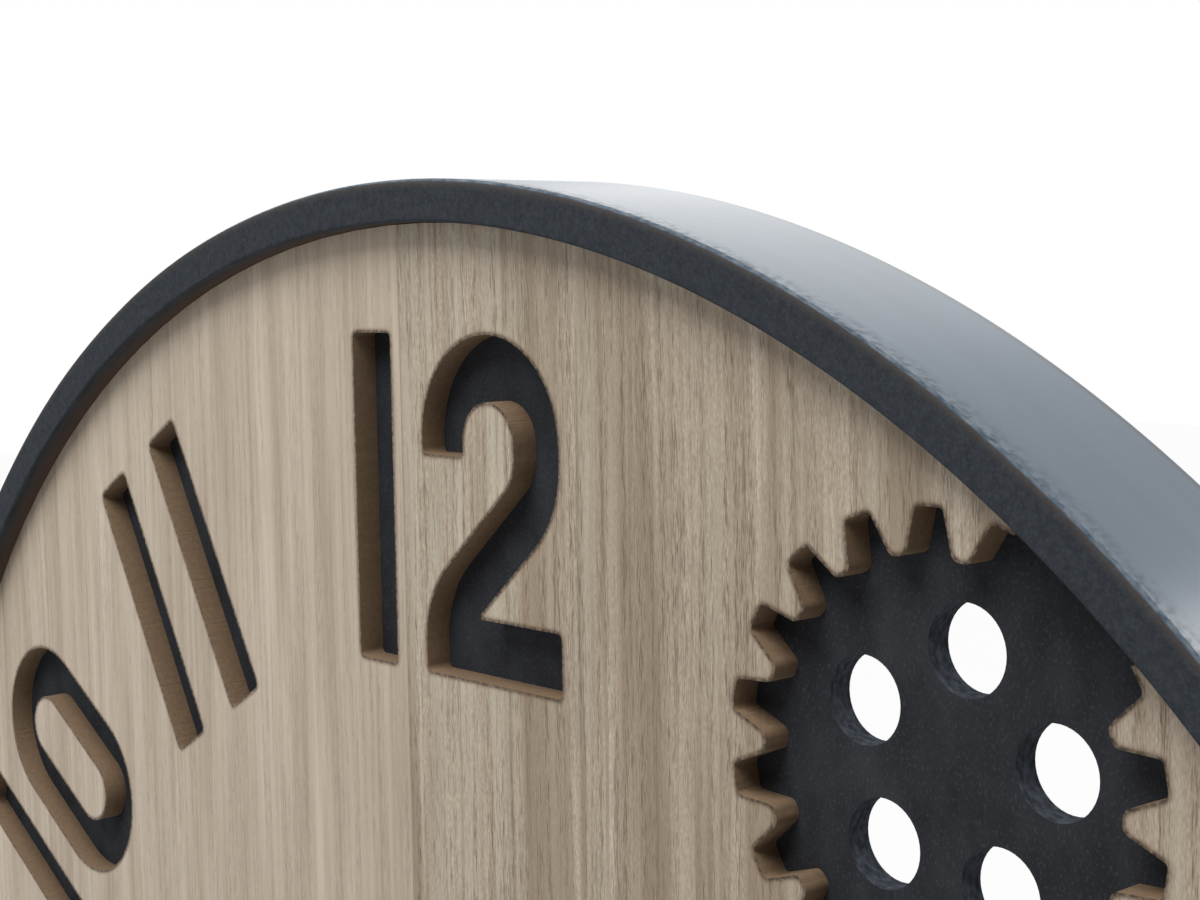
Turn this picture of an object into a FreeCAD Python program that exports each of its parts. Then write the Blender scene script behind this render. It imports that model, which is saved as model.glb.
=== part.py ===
"""Wooden gear clock: a round wall clock with cut-through numerals and gear shapes.

Millimetres, +Z up, dial towards -Y. The origin is where the axis of the hands meets the wall.
The hands stand at ten past ten, and turn clockwise for positive angles about +Y.
"""
import FreeCAD, Part
import math
import os

import Sketcher
from FreeCAD import Placement, Rotation, Vector

SIZES = {
    # Hoop, boards and what holds them together
    "hoop_radius": 300.0,
    "hoop_wall": 9.7,
    "hoop_depth": 42.6,
    "hoop_edge_round": 0.8,
    "face_recess": 6.5,
    "face_thickness": 6.5,
    "board_thickness": 5.9,
    "board_gap": 0.15,
    "hub_opening_radius": 10.0,
    "block_length": 40.0,
    "block_width": 14.0,
    "pad_radius": 4.0,
    "pad_thickness": 1.5,
    # Cut-through numerals
    "numeral_foot_radius": 185.5,
    "numeral_height": 79.2,
    "numeral_stroke": 15.1,
    "numeral_pair_gap": 11.9,
    "numeral_one_inset": 5.6,
    "numeral_corner": 1.3,
    # Gear shapes cut in the face, with round holes in the back board behind them
    "rim_gear_x": 149.3,
    "rim_gear_z": 186.2,
    "rim_gear_tip": 49.5,
    "large_gear_x": -72.0,
    "large_gear_z": -88.0,
    "large_gear_tip": 62.0,
    "small_gear_x": 66.0,
    "small_gear_z": -114.0,
    "small_gear_tip": 41.0,
    "gear_tooth_height": 9.0,
    "tooth_tip_round": 1.2,
    "tooth_root_round": 1.9,
    "rim_hole_radius": 8.8,
    "large_hole_radius": 11.0,
    "small_hole_radius": 6.6,
    "rim_hole_circle": 23.2,
    "large_hole_circle": 31.5,
    "small_hole_circle": 16.5,
    # Keyhole hanger
    "hanger_block_length": 90.0,
    "hanger_block_width": 34.0,
    "hanger_block_gap": 1.0,
    "hanger_plate_length": 48.0,
    "hanger_plate_width": 18.0,
    "hanger_plate_thickness": 1.2,
    "hanger_pocket_length": 24.0,
    "hanger_pocket_width": 14.0,
    "hanger_pocket_depth": 8.0,
    "keyhole_radius": 4.5,
    "keyhole_slot_radius": 2.3,
    "keyhole_slot_length": 7.0,
    "hanger_screw_spacing": 36.0,
    "hanger_screw_radius": 1.5,
    "hanger_screw_head": 3.0,
    "hanger_screw_head_height": 0.8,
    "hanger_screw_length": 11.0,
    # Hands
    "hour_length": 122.0,
    "hour_width": 15.0,
    "hour_tip_width": 11.0,
    "hour_tail": 34.0,
    "minute_length": 176.0,
    "minute_width": 11.0,
    "minute_tip_width": 7.0,
    "minute_tail": 46.0,
    "hub_disc_radius": 14.0,
    "minute_disc_radius": 9.0,
    "hand_corner": 1.0,
    "hand_plate": 0.8,
    "hand_clearance": 1.5,
    "hand_gap": 1.3,
    "collet_radius": 4.0,
    "collet_length": 1.2,
    "hand_nut_radius": 3.2,
    "hand_nut_height": 2.0,
    "hand_nut_wall": 0.6,
    "hand_thread_radius": 1.2,
    # Movement case
    "gasket_radius": 12.0,
    "gasket_thickness": 1.0,
    "case_width": 56.0,
    "case_height": 56.0,
    "case_drop": 3.5,
    "case_depth": 16.0,
    "case_wall": 1.2,
    "case_corner": 3.0,
    "bushing_radius": 4.0,
    "bushing_spare": 1.0,
    "thread_groove": 0.3,
    "thread_pitch": 1.0,
    "board_hole_radius": 4.2,
    "washer_radius": 8.0,
    "washer_thickness": 0.8,
    "nut_across_flats": 12.0,
    "nut_height": 2.5,
    "running_gap": 0.07,
    # Hand arbors and wheels
    "hour_tube_radius": 2.5,
    "minute_tube_radius": 1.8,
    "arbor_radius": 0.9,
    "pivot_radius": 0.4,
    "pivot_depth": 0.7,
    "wheel_thickness": 0.8,
    "pinion_height": 1.2,
    "train_module": 0.35,
    "motion_module": 0.45,
    "hour_wheel_place": 0.4,
    "cannon_pinion_place": 1.9,
    "centre_wheel_place": 4.0,
    "third_wheel_place": 6.0,
    "second_wheel_place": 8.2,
    "fifth_wheel_place": 10.2,
    "knob_radius": 5.5,
    "knob_height": 4.0,
    "knob_gap": 0.4,
    "knob_groove": 0.4,
    "knob_arbor_radius": 1.5,
    # Motor
    "magnet_radius": 2.2,
    "magnet_height": 2.4,
    "stator_place": 6.4,
    "stator_thickness": 1.0,
    "stator_hole_radius": 2.7,
    "stator_reach": 5.2,
    "stator_leg": 2.4,
    "stator_left": 6.2,
    "core_offset": 3.4,
    "coil_length": 13.0,
    "coil_radius": 3.6,
    "bobbin_radius": 4.1,
    "bobbin_core": 1.9,
    "bobbin_flange": 0.8,
    "post_radius": 1.1,
    # Circuit
    "circuit_width": 6.6,
    "circuit_height": 30.0,
    "circuit_thickness": 1.0,
    "circuit_place": 4.0,
    "quartz_radius": 1.0,
    "quartz_length": 6.0,
    "chip_radius": 2.4,
    "chip_height": 0.9,
    # Cell and its contacts
    "cell_radius": 7.1,
    "cell_length": 49.2,
    "cell_nub_radius": 2.7,
    "cell_nub_length": 1.3,
    "cell_gap": 0.3,
    "contact_thickness": 0.4,
    "contact_width": 9.0,
    "contact_dome_radius": 2.2,
}

# Shares of the numerals' height
NUMERAL_SHARES = {"width": 0.611, "drop": 0.047, "two_shoulder_drop": 0.05, "two_heel": 0.088,
                  "two_foot": 0.183, "two_crotch": 0.259, "four_foot": 0.177, "four_stem": 0.345,
                  "five_inset": 0.038, "seven_inset": 0.101}

# Counts and angles
GEARS = {"rim": (18, 90.0, 5, 81.6), "large": (24, 90.0, 6, 90.0), "small": (15, 78.0, 5, 78.0)}
OPEN_DIRECTIONS = (32.0, 68.0)
GEAR_TIP_SHARE = 0.36
GEAR_ROOT_SHARE = 0.74
HOURS_WITH_NUMERALS = range(2, 13)
DEGREES_AN_HOUR, DEGREES_A_MINUTE = 30.0, 6.0
SEVEN_BAND_SHARE = 1.09
REST_HOUR = 10
REST_MINUTE = 10
BLOCK_ANGLES = [22.5 + 45.0 * turn for turn in range(8)]
PAD_ANGLES = [45.0, 135.0, 225.0, 315.0]
CENTRE_TEETH, THIRD_TEETH, SECOND_TEETH, FIFTH_TEETH = 64, 60, 40, 36
TRAIN_PINION_TEETH, ROTOR_PINION_TEETH = 8, 6
CANNON_TEETH, MOTION_TEETH, MOTION_PINION_TEETH, HOUR_TEETH = 10, 30, 8, 32
THIRD_DIRECTION, SECOND_DIRECTION, FIFTH_DIRECTION, ROTOR_DIRECTION = 126.8, 17.6, -18.0, -11.8
MOTION_DIRECTION, KNOB_DIRECTION = 215.0, 199.0
WHEEL_TIP_SHARE, WHEEL_ROOT_SHARE = 0.34, 0.52
ADDENDUM_SHARE, DEDENDUM_SHARE = 0.75, 1.05
KNOB_GROOVES = 24
KNOB_TIP_SHARE, KNOB_ROOT_SHARE = 0.5, 0.8
THREAD_TURNS = 8

doc = FreeCAD.newDocument("gear_clock")
sheet = doc.addObject("Spreadsheet::Sheet", "Sizes")
for row, (alias, number) in enumerate(SIZES.items(), start=1):
    sheet.set(f"A{row}", alias)
    sheet.set(f"B{row}", str(number))
    sheet.setAlias(f"B{row}", alias)
doc.recompute()


class Size:
    """A length that knows both its value and the sheet expression that gives it."""

    def __init__(self, value, text):
        self.value = value
        self.text = text

    def __float__(self):
        return float(self.value)

    def __neg__(self):
        return Size(-self.value, f"(0 - {self.text})")

    def __add__(self, other):
        other = as_size(other)
        return Size(self.value + other.value, f"({self.text} + {other.text})")

    def __sub__(self, other):
        other = as_size(other)
        return Size(self.value - other.value, f"({self.text} - {other.text})")

    def __mul__(self, factor):
        return Size(self.value * factor, f"({self.text} * {factor})")

    def __truediv__(self, factor):
        return Size(self.value / factor, f"({self.text} / {factor})")


def as_size(number):
    return number if isinstance(number, Size) else Size(number, str(number))


class Sheet:
    """The named sizes of the sheet, read as attributes."""

    def __getattr__(self, alias):
        return Size(float(sheet.get(alias)), f"Sizes.{alias}")


s = Sheet()
ORIGIN = Vector(0, 0, 0)
ALONG_Y = Rotation(Vector(1, 0, 0), -90)
UPRIGHT = Rotation()


def turned(x, z, degrees):
    """The point (x, z) of the dial turned clockwise about the axis of the hands."""
    angle = math.radians(degrees)
    return (x * math.cos(angle) + z * math.sin(angle), z * math.cos(angle) - x * math.sin(angle))


def bind(item, **sizes):
    for name, size in sizes.items():
        item.setExpression(name, as_size(size).text)
    return item


def place(item, x, y, z, rotation=UPRIGHT):
    """Puts an item at a point and ties the point to the sheet."""
    item.Placement = Placement(Vector(float(x), float(y), float(z)), rotation)
    for axis, size in zip("xyz", (x, y, z)):
        if isinstance(size, Size):
            item.setExpression(f".Placement.Base.{axis}", size.text)
    return item


def cylinder(name, radius, front, back, x=0.0, z=0.0):
    """A round bar along Y from its front plane to its back plane."""
    item = bind(doc.addObject("Part::Cylinder", name), Radius=radius, Height=as_size(back) - front)
    return place(item, x, front, z, ALONG_Y)


def box(name, low, high):
    """A box between two corners, each given as x, y, z."""
    length, width, height = [as_size(b) - a for a, b in zip(low, high)]
    return place(bind(doc.addObject("Part::Box", name), Length=length, Width=width, Height=height), *low)


def prism(name, sides, across_flats, front, back, x=0.0, z=0.0):
    """A regular prism along Y of a given size across its flats."""
    item = doc.addObject("Part::Prism", name)
    item.Polygon = sides
    bind(item, Circumradius=across_flats / (2 * math.cos(math.pi / sides)), Height=as_size(back) - front)
    return place(item, x, front, z, ALONG_Y)


def fuse(name, *items):
    item = doc.addObject("Part::MultiFuse", name)
    item.Shapes = list(items)
    return item


def cut(name, base, *tools):
    item = doc.addObject("Part::Cut", name)
    item.Base = base
    item.Tool = tools[0] if len(tools) == 1 else fuse(name + "_tools", *tools)
    return item


def group(name, items):
    item = doc.addObject("Part::Compound", name)
    item.Links = list(items)
    return item


def shaped(name, shape, base=ORIGIN):
    item = doc.addObject("Part::Feature", name)
    item.Shape = shape
    item.Placement = Placement(base, UPRIGHT)
    return item


# Planes along Y, from the wall to the front
hoop_back = -s.pad_thickness
hoop_front = hoop_back - s.hoop_depth
face_front = hoop_front + s.face_recess
board_front = face_front + s.face_thickness
board_back = board_front + s.board_thickness
case_front = board_back + s.gasket_thickness
inside_front = case_front + s.case_wall
case_back = case_front + s.case_depth
inside_back = case_back - s.case_wall
hour_hand_back = face_front - s.hand_clearance
hour_hand_front = hour_hand_back - s.hand_plate
minute_hand_back = hour_hand_front - s.hand_gap
minute_hand_front = minute_hand_back - s.hand_plate
hand_nut_front = minute_hand_front - s.hand_nut_height
inner_radius = s.hoop_radius - s.hoop_wall
board_radius = inner_radius - s.board_gap


def sketch_on(body, role, name):
    """A new sketch on one of the body's own origin planes."""
    sketch = body.newObject("Sketcher::SketchObject", name)
    plane = [item for item in body.Origin.OriginFeatures if item.Role == role][0]
    sketch.AttachmentSupport = [(plane, "")]
    sketch.MapMode = "FlatFace"
    return sketch


def dimension(sketch, kind, point, size):
    """A distance from the sketch's origin to a point of its geometry, tied to the sheet."""
    index = sketch.addConstraint(Sketcher.Constraint(kind, -1, 1, point[0], point[1], float(size)))
    sketch.setExpression(f"Constraints[{index}]", size.text)


def sketched_rectangle(sketch, left, bottom, right, top):
    corners = [(left, bottom), (right, bottom), (right, top), (left, top)]
    points = [Vector(float(x), float(y), 0) for x, y in corners]
    for index in range(4):
        sketch.addGeometry(Part.LineSegment(points[index], points[(index + 1) % 4]))
    for index in range(4):
        sketch.addConstraint(Sketcher.Constraint("Coincident", index, 2, (index + 1) % 4, 1))
        sketch.addConstraint(Sketcher.Constraint("Horizontal" if index % 2 == 0 else "Vertical", index))
    dimension(sketch, "DistanceX", (0, 1), left)
    dimension(sketch, "DistanceY", (0, 1), bottom)
    dimension(sketch, "DistanceX", (2, 1), right)
    dimension(sketch, "DistanceY", (2, 1), top)


def turned_ring(name, inner, outer, front, back):
    """A ring about the axis of the hands, turned from a rectangular section."""
    body = doc.addObject("PartDesign::Body", name)
    sketch = sketch_on(body, "YZ_Plane", name + "_section")
    sketched_rectangle(sketch, front, inner, back, outer)
    ring = body.newObject("PartDesign::Revolution", name + "_turn")
    ring.Profile = sketch
    ring.ReferenceAxis = (sketch, ["H_Axis"])
    ring.Angle = 360
    doc.recompute()
    return body, ring


def round_edges(body, feature, size):
    """Rounds every circular edge of a turned body."""
    edges = enumerate(feature.Shape.Edges, start=1)
    names = [f"Edge{number}" for number, edge in edges if isinstance(edge.Curve, Part.Circle)]
    rounding = body.newObject("PartDesign::Fillet", body.Name + "_rounding")
    rounding.Base = (feature, names)
    bind(rounding, Radius=size)
    body.Tip = rounding
    return body


# Outlines in the plane of the dial
def at(x, z, y=0.0):
    return Vector(float(x), float(y), float(z))


def polygon(points):
    corners = [at(x, z) for x, z in points]
    return Part.Face(Part.makePolygon(corners + corners[:1]))


def softened(points, *soft):
    """A straight-sided face; the numbered corners are rounded as a cutter leaves them."""
    radius = float(s.numeral_corner)
    radii = [radius if number in soft else 0.0 for number in range(len(points))]
    return Part.Face(rounded_wire(points, radii))


def bar(left, foot, right, top, *soft):
    """An upright rectangle; corner 0 is its left foot, and the others follow anticlockwise."""
    return softened([(left, foot), (right, foot), (right, top), (left, top)], *soft)


def around(centre, radius, degrees):
    angle = math.radians(degrees)
    return (centre[0] + radius * math.cos(angle), centre[1] + radius * math.sin(angle))


def arc(centre, radius, start, end):
    ends = [at(*around(centre, radius, degrees)) for degrees in (start, (start + end) / 2, end)]
    return Part.Arc(*ends).toShape()


def sector(centre, outer, stroke, start, end):
    """Part of a ring, anticlockwise from one angle to another."""
    inner = outer - stroke
    sides = [Part.makeLine(at(*around(centre, inner, angle)), at(*around(centre, outer, angle)))
             for angle in (start, end)]
    edges = [arc(centre, outer, start, end), sides[1], arc(centre, inner, start, end), sides[0]]
    return Part.Face(Part.Wire(Part.__sortEdges__(edges)))


def joined(faces):
    face = faces[0].fuse(faces[1:]).removeSplitter() if len(faces) > 1 else faces[0]
    return face.Faces


def rounded_wire(points, radii):
    """A closed outline whose corners are arcs tangent to both sides."""
    vectors = [at(x, z) for x, z in points]
    edges, ends = [], []
    for index, corner in enumerate(vectors):
        back = (vectors[index - 1] - corner).normalize()
        ahead = (vectors[(index + 1) % len(vectors)] - corner).normalize()
        half = back.getAngle(ahead) / 2
        reach = radii[index] / math.tan(half)
        inward = (back + ahead).normalize()
        middle = corner + inward * (radii[index] / math.sin(half) - radii[index])
        ends.append((corner + back * reach, corner + ahead * reach))
        if radii[index]:
            edges.append(Part.Arc(ends[-1][0], middle, ends[-1][1]).toShape())
    for index, (start, _) in enumerate(ends):
        edges.append(Part.makeLine(ends[index - 1][1], start))
    return Part.Wire(Part.__sortEdges__(edges))


def tooth_points(teeth, tip, root, tip_share, root_share, phase):
    """Corners of straight-sided teeth; the shares are of the tooth pitch at the tip and at the root."""
    pitch = 360.0 / teeth
    corners = [(root, -root_share), (tip, -tip_share), (tip, tip_share), (root, root_share)]
    return [around((0.0, 0.0), radius, phase + pitch * (tooth + share / 2))
            for tooth in range(teeth) for radius, share in corners]


# Numerals, each in a box whose lower left corner is its own origin
height, stroke = float(s.numeral_height), float(s.numeral_stroke)
numeral_sizes = {name: share * height for name, share in NUMERAL_SHARES.items()}
width, drop = numeral_sizes["width"], numeral_sizes["drop"]
bowl = width / 2
tall_bowl = (height + stroke) / 4


def one():
    return [bar(0, 0, stroke, height, 0, 1, 2, 3)]


def two():
    """A round head, a shoulder below it, a straight back tangent to shoulder and heel, and a foot."""
    head = (bowl, height - bowl)
    shoulder = (bowl, head[1] - numeral_sizes["two_shoulder_drop"])
    heel = (bowl, numeral_sizes["two_heel"])
    lean = math.degrees(math.asin((2 * bowl - stroke) / (shoulder[1] - heel[1])))
    back = [around(shoulder, bowl, -lean), around(shoulder, bowl - stroke, -lean),
            around(heel, bowl, 180 - lean), around(heel, bowl - stroke, 180 - lean)]
    foot, crotch = numeral_sizes["two_foot"], numeral_sizes["two_crotch"]
    share = (crotch - back[3][0]) / (back[0][0] - back[3][0])
    crotch_top = back[3][1] + share * (back[0][1] - back[3][1])
    return [bar(0, head[1] - drop, stroke, head[1], 0, 1), sector(head, bowl, stroke, 0, 180),
            bar(width - stroke, shoulder[1], width, head[1]), sector(shoulder, bowl, stroke, -lean, 0),
            polygon(back), sector(heel, bowl, stroke, 180 - lean, 180), bar(0, 0, crotch, heel[1], 0),
            bar(stroke, heel[1], crotch, crotch_top), bar(crotch, 0, width, foot, 1, 2)]


def three():
    lower, upper = (width - tall_bowl, tall_bowl), (width - tall_bowl, height - tall_bowl)
    left = width - 2 * tall_bowl
    return [sector(upper, tall_bowl, stroke, -90, 180), sector(lower, tall_bowl, stroke, -180, 90),
            bar(left, upper[1] - drop, left + stroke, upper[1], 0, 1),
            bar(left, lower[1], left + stroke, lower[1] + drop, 2, 3)]


def four():
    foot, stem = numeral_sizes["four_foot"], numeral_sizes["four_stem"]
    top = foot + stroke
    rise = (height - top) / stem
    band = stroke * math.hypot(1, 1 / rise)
    return [bar(stem, 0, stem + stroke, height, 0, 1, 2), bar(0, foot, width, top, 0, 1, 2),
            polygon([(0, top), (band, top), (stem, top + (stem - band) * rise), (stem, height)])]


def five():
    left, waist = numeral_sizes["five_inset"], width - stroke
    centre = (bowl, bowl)
    return [bar(left, height - stroke, width - left, height, 1, 2, 3),
            bar(left, waist, left + stroke, height - stroke, 0), bar(left, waist, centre[0], width, 0),
            sector(centre, bowl, stroke, -180, 90), bar(0, bowl, stroke, bowl + drop, 2, 3)]


def six():
    lower, upper = (bowl, bowl), (bowl, height - bowl)
    return [sector(lower, bowl, stroke, 0, 180), sector(lower, bowl, stroke, 180, 360),
            bar(0, lower[1], stroke, upper[1]), sector(upper, bowl, stroke, 0, 180),
            bar(width - stroke, upper[1] - drop, width, upper[1], 0, 1)]


def seven():
    foot, band = numeral_sizes["seven_inset"], stroke * SEVEN_BAND_SHARE
    under = height - stroke
    return [softened([(0, height), (0, under), (width - band, under), (foot, 0), (foot + band, 0),
                      (width, under), (width, height)], 0, 1, 3, 4, 6)]


def eight():
    centres = [(bowl, tall_bowl), (bowl, height - tall_bowl)]
    return [sector(centre, tall_bowl, stroke, start, start + 180) for centre in centres for start in (0, 180)]


def nine():
    middle = at(bowl, height / 2)
    faces = [face.copy() for face in six()]
    for face in faces:
        face.rotate(middle, Vector(0, 1, 0), 180)
    return faces


def zero():
    lower, upper = (bowl, bowl), (bowl, height - bowl)
    return [sector(lower, bowl, stroke, 180, 360), sector(upper, bowl, stroke, 0, 180),
            bar(0, lower[1], stroke, upper[1]), bar(width - stroke, lower[1], width, upper[1])]


DIGITS = {"0": zero, "1": one, "2": two, "3": three, "4": four, "5": five,
          "6": six, "7": seven, "8": eight, "9": nine}


def numeral(hour):
    """The faces of one hour's numeral, turned to its place on the dial."""
    digits = str(hour)
    if len(digits) == 1:
        lefts = [-width / 2]
    else:
        second = float(s.numeral_one_inset) if digits[1] == "1" else 0.0
        lefts = [-stroke - float(s.numeral_pair_gap), second]
    faces = []
    for digit, left in zip(digits, lefts):
        for face in joined(DIGITS[digit]()):
            face.translate(at(left, s.numeral_foot_radius))
            face.rotate(ORIGIN, Vector(0, 1, 0), DEGREES_AN_HOUR * hour)
            faces.append(face)
    return faces


def gear_face(kind):
    """A gear-shaped opening of the face board with rounded tooth corners."""
    teeth, phase, _, _ = GEARS[kind]
    tip = float(getattr(s, kind + "_gear_tip"))
    root = tip - float(s.gear_tooth_height)
    points = tooth_points(teeth, tip, root, GEAR_TIP_SHARE, GEAR_ROOT_SHARE, phase)
    radii = [float(s.tooth_root_round), float(s.tooth_tip_round)]
    face = Part.Face(rounded_wire(points, (radii + radii[::-1]) * teeth))
    face.translate(at(getattr(s, kind + "_gear_x"), getattr(s, kind + "_gear_z")))
    return face


def open_sector():
    """Where the rim gear runs out to the hoop: teeth there would hang by a sliver, so there are none."""
    centre = (float(s.rim_gear_x), float(s.rim_gear_z))
    reach = float(s.rim_gear_tip) * 2
    return polygon([centre] + [around(centre, reach, degrees) for degrees in OPEN_DIRECTIONS])


def disc_face(radius):
    return Part.Face(Part.Wire(Part.makeCircle(float(radius), ORIGIN, Vector(0, 1, 0))))


def face_pieces():
    """The face board's outline first, then the loose islands of the closed numerals."""
    openings = [disc_face(s.hub_opening_radius), open_sector()] + [gear_face(kind) for kind in GEARS]
    for hour in HOURS_WITH_NUMERALS:
        openings.extend(numeral(hour))
    pieces = disc_face(board_radius).cut(openings).Faces
    return sorted(pieces, key=lambda face: face.Area, reverse=True)


def hoop():
    body, ring = turned_ring("rim_hoop", inner_radius, s.hoop_radius, hoop_front, hoop_back)
    return round_edges(body, ring, s.hoop_edge_round)


def boards():
    pieces = face_pieces()
    through = Vector(0, float(s.face_thickness), 0)
    base = Vector(0, float(face_front), 0)
    islands = Part.makeCompound([piece.extrude(through) for piece in pieces[1:]])
    holes = [cylinder("board_hub_hole", s.board_hole_radius, board_front, board_back)]
    for kind, (_, _, count, first) in GEARS.items():
        circle = getattr(s, kind + "_hole_circle")
        for number in range(count):
            angle = math.radians(first + 360.0 * number / count)
            x = getattr(s, kind + "_gear_x") + circle * math.cos(angle)
            z = getattr(s, kind + "_gear_z") + circle * math.sin(angle)
            name = f"{kind}_gear_hole_{number + 1}"
            holes.append(cylinder(name, getattr(s, kind + "_hole_radius"), board_front, board_back, x, z))
    return [shaped("face_board", pieces[0].extrude(through), base),
            shaped("numeral_islands", islands, base),
            cut("back_board", cylinder("back_disc", board_radius, board_front, board_back), *holes)]


def glue_blocks():
    """Square blocks in the corner between the back board and the hoop."""
    half = s.block_length / 2
    reach = math.sqrt(float(inner_radius) ** 2 - float(half) ** 2)
    blocks = []
    for number, angle in enumerate(BLOCK_ANGLES, start=1):
        block = doc.addObject("Part::Box", f"glue_block_{number}")
        bind(block, Length=s.block_length, Width=s.block_width, Height=s.block_width)
        x, z = turned(-float(half), reach - float(s.block_width) - float(s.board_gap), angle)
        block.Placement = Placement(at(x, z, board_back), Rotation(Vector(0, 1, 0), angle))
        blocks.append(block)
    return group("glue_blocks", blocks)


def wall_pads():
    middle = s.hoop_radius - s.hoop_wall / 2
    pads = []
    for number, angle in enumerate(PAD_ANGLES, start=1):
        x, z = [middle * share for share in turned(0.0, 1.0, angle)]
        pads.append(cylinder(f"wall_pad_{number}", s.pad_radius, hoop_back, as_size(0), x, z))
    return group("wall_pads", pads)


# The hanger sits at the top of the hoop, its plate just clear of the wall
hanger_half = s.hanger_block_length / 2
hanger_top = Size(0, "0") + math.sqrt(float(inner_radius) ** 2 - float(hanger_half) ** 2)
hanger_top = hanger_top - s.board_gap
hanger_middle = hanger_top - s.hanger_block_width / 2
plate_back = hoop_back + s.hanger_block_gap / 2
plate_front = plate_back - s.hanger_plate_thickness


def hanger_screw(name, x):
    head_front = plate_back
    head = cylinder(name + "_head", s.hanger_screw_head, head_front, head_front + s.hanger_screw_head_height,
                    x, hanger_middle)
    shank = cylinder(name + "_shank", s.hanger_screw_radius, head_front - s.hanger_screw_length, head_front,
                     x, hanger_middle)
    return fuse(name, head, shank)


def hanger():
    screw_places = [-(s.hanger_screw_spacing / 2), s.hanger_screw_spacing / 2]
    block = box("hanger_block_blank", (-hanger_half, board_back, hanger_top - s.hanger_block_width),
                (hanger_half, plate_front, hanger_top))
    pocket = box("hanger_pocket",
                 (-(s.hanger_pocket_length / 2), plate_front - s.hanger_pocket_depth,
                  hanger_middle - s.hanger_pocket_width / 2),
                 (s.hanger_pocket_length / 2, plate_front, hanger_middle + s.hanger_pocket_width / 2))
    pilots = [cylinder(f"hanger_pilot_{number}", s.hanger_screw_radius, plate_back - s.hanger_screw_length,
                       plate_front, x, hanger_middle) for number, x in enumerate(screw_places, start=1)]
    plate = box("hanger_plate_blank",
                (-(s.hanger_plate_length / 2), plate_front, hanger_middle - s.hanger_plate_width / 2),
                (s.hanger_plate_length / 2, plate_back, hanger_middle + s.hanger_plate_width / 2))
    keyhole_z = hanger_middle - s.keyhole_slot_length / 2
    slot_z = keyhole_z + s.keyhole_slot_length
    openings = [cylinder("keyhole_entry", s.keyhole_radius, plate_front, plate_back, 0.0, keyhole_z),
                cylinder("keyhole_end", s.keyhole_slot_radius, plate_front, plate_back, 0.0, slot_z),
                box("keyhole_slot", (-s.keyhole_slot_radius, plate_front, keyhole_z),
                    (s.keyhole_slot_radius, plate_back, slot_z))]
    openings += [cylinder(f"hanger_plate_hole_{number}", s.hanger_screw_radius, plate_front, plate_back,
                          x, hanger_middle) for number, x in enumerate(screw_places, start=1)]
    screws = [hanger_screw(f"hanger_screw_{number}", x) for number, x in enumerate(screw_places, start=1)]
    return [cut("hanger_block", block, pocket, *pilots), cut("hanger_plate", plate, *openings),
            group("hanger_screws", screws)]


def hand_plate(length, wide, tip_width, tail, disc, bore):
    """A tapered bar with a round hub and a counterweight tail, pointing to twelve."""
    length, tail = float(length), float(tail)
    wide, tip_width = float(wide) / 2, float(tip_width) / 2
    blade = rounded_wire([(-wide, -tail), (wide, -tail), (tip_width, length), (-tip_width, length)],
                         [float(s.hand_corner)] * 4)
    blade, hub, hole = [face.extrude(Vector(0, float(s.hand_plate), 0))
                        for face in (Part.Face(blade), disc_face(disc), disc_face(bore))]
    return blade.fuse(hub).cut(hole).removeSplitter()


def turned_about_axis(item, back, degrees):
    item.Placement = Placement(Vector(0, float(back), 0), Rotation(Vector(0, 1, 0), degrees))
    return item


minute_angle = DEGREES_A_MINUTE * REST_MINUTE
hour_angle = DEGREES_AN_HOUR * REST_HOUR + minute_angle / 12


def hands():
    hour = hand_plate(s.hour_length, s.hour_width, s.hour_tip_width, s.hour_tail, s.hub_disc_radius,
                      s.hour_tube_radius)
    collet = disc_face(s.collet_radius).cut(disc_face(s.hour_tube_radius))
    collet = collet.extrude(Vector(0, float(s.collet_length), 0))
    collet.translate(Vector(0, float(s.hand_plate), 0))
    minute = hand_plate(s.minute_length, s.minute_width, s.minute_tip_width, s.minute_tail,
                        s.minute_disc_radius, s.hand_thread_radius)
    nut = cylinder("hand_nut_blank", s.hand_nut_radius, hand_nut_front, minute_hand_front)
    thread = cylinder("hand_nut_thread", s.hand_thread_radius, hand_nut_front + s.hand_nut_wall,
                      minute_hand_front)
    hour = shaped("hour_hand", hour.fuse(collet).removeSplitter())
    return [turned_about_axis(hour, hour_hand_front, hour_angle),
            turned_about_axis(shaped("minute_hand", minute), minute_hand_front, minute_angle),
            cut("hand_nut", nut, thread)]


# Movement: planes of the case and of the wheel chamber
case_left, case_right = -(s.case_width / 2), s.case_width / 2
case_top = s.case_height / 2 - s.case_drop
case_foot = case_top - s.case_height
bay_foot = case_foot + s.case_wall
bay_middle = bay_foot + s.cell_radius + s.cell_gap
bay_top = bay_middle + s.cell_radius + s.cell_gap
chamber_foot = bay_top + s.case_wall


def wheel_place(start, teeth, next_teeth, module, direction):
    """The axis of the next wheel, one centre distance away in a direction given in degrees."""
    distance = module * ((teeth + next_teeth) / 2)
    angle = math.radians(direction)
    return (start[0] + distance * math.cos(angle), start[1] + distance * math.sin(angle))


def mesh_phase(phase, teeth, next_teeth, direction):
    """The angle that puts a gap of the next wheel on the tooth that reaches towards it."""
    return direction + 180.0 + 180.0 / next_teeth - (phase - direction) * teeth / next_teeth


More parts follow.
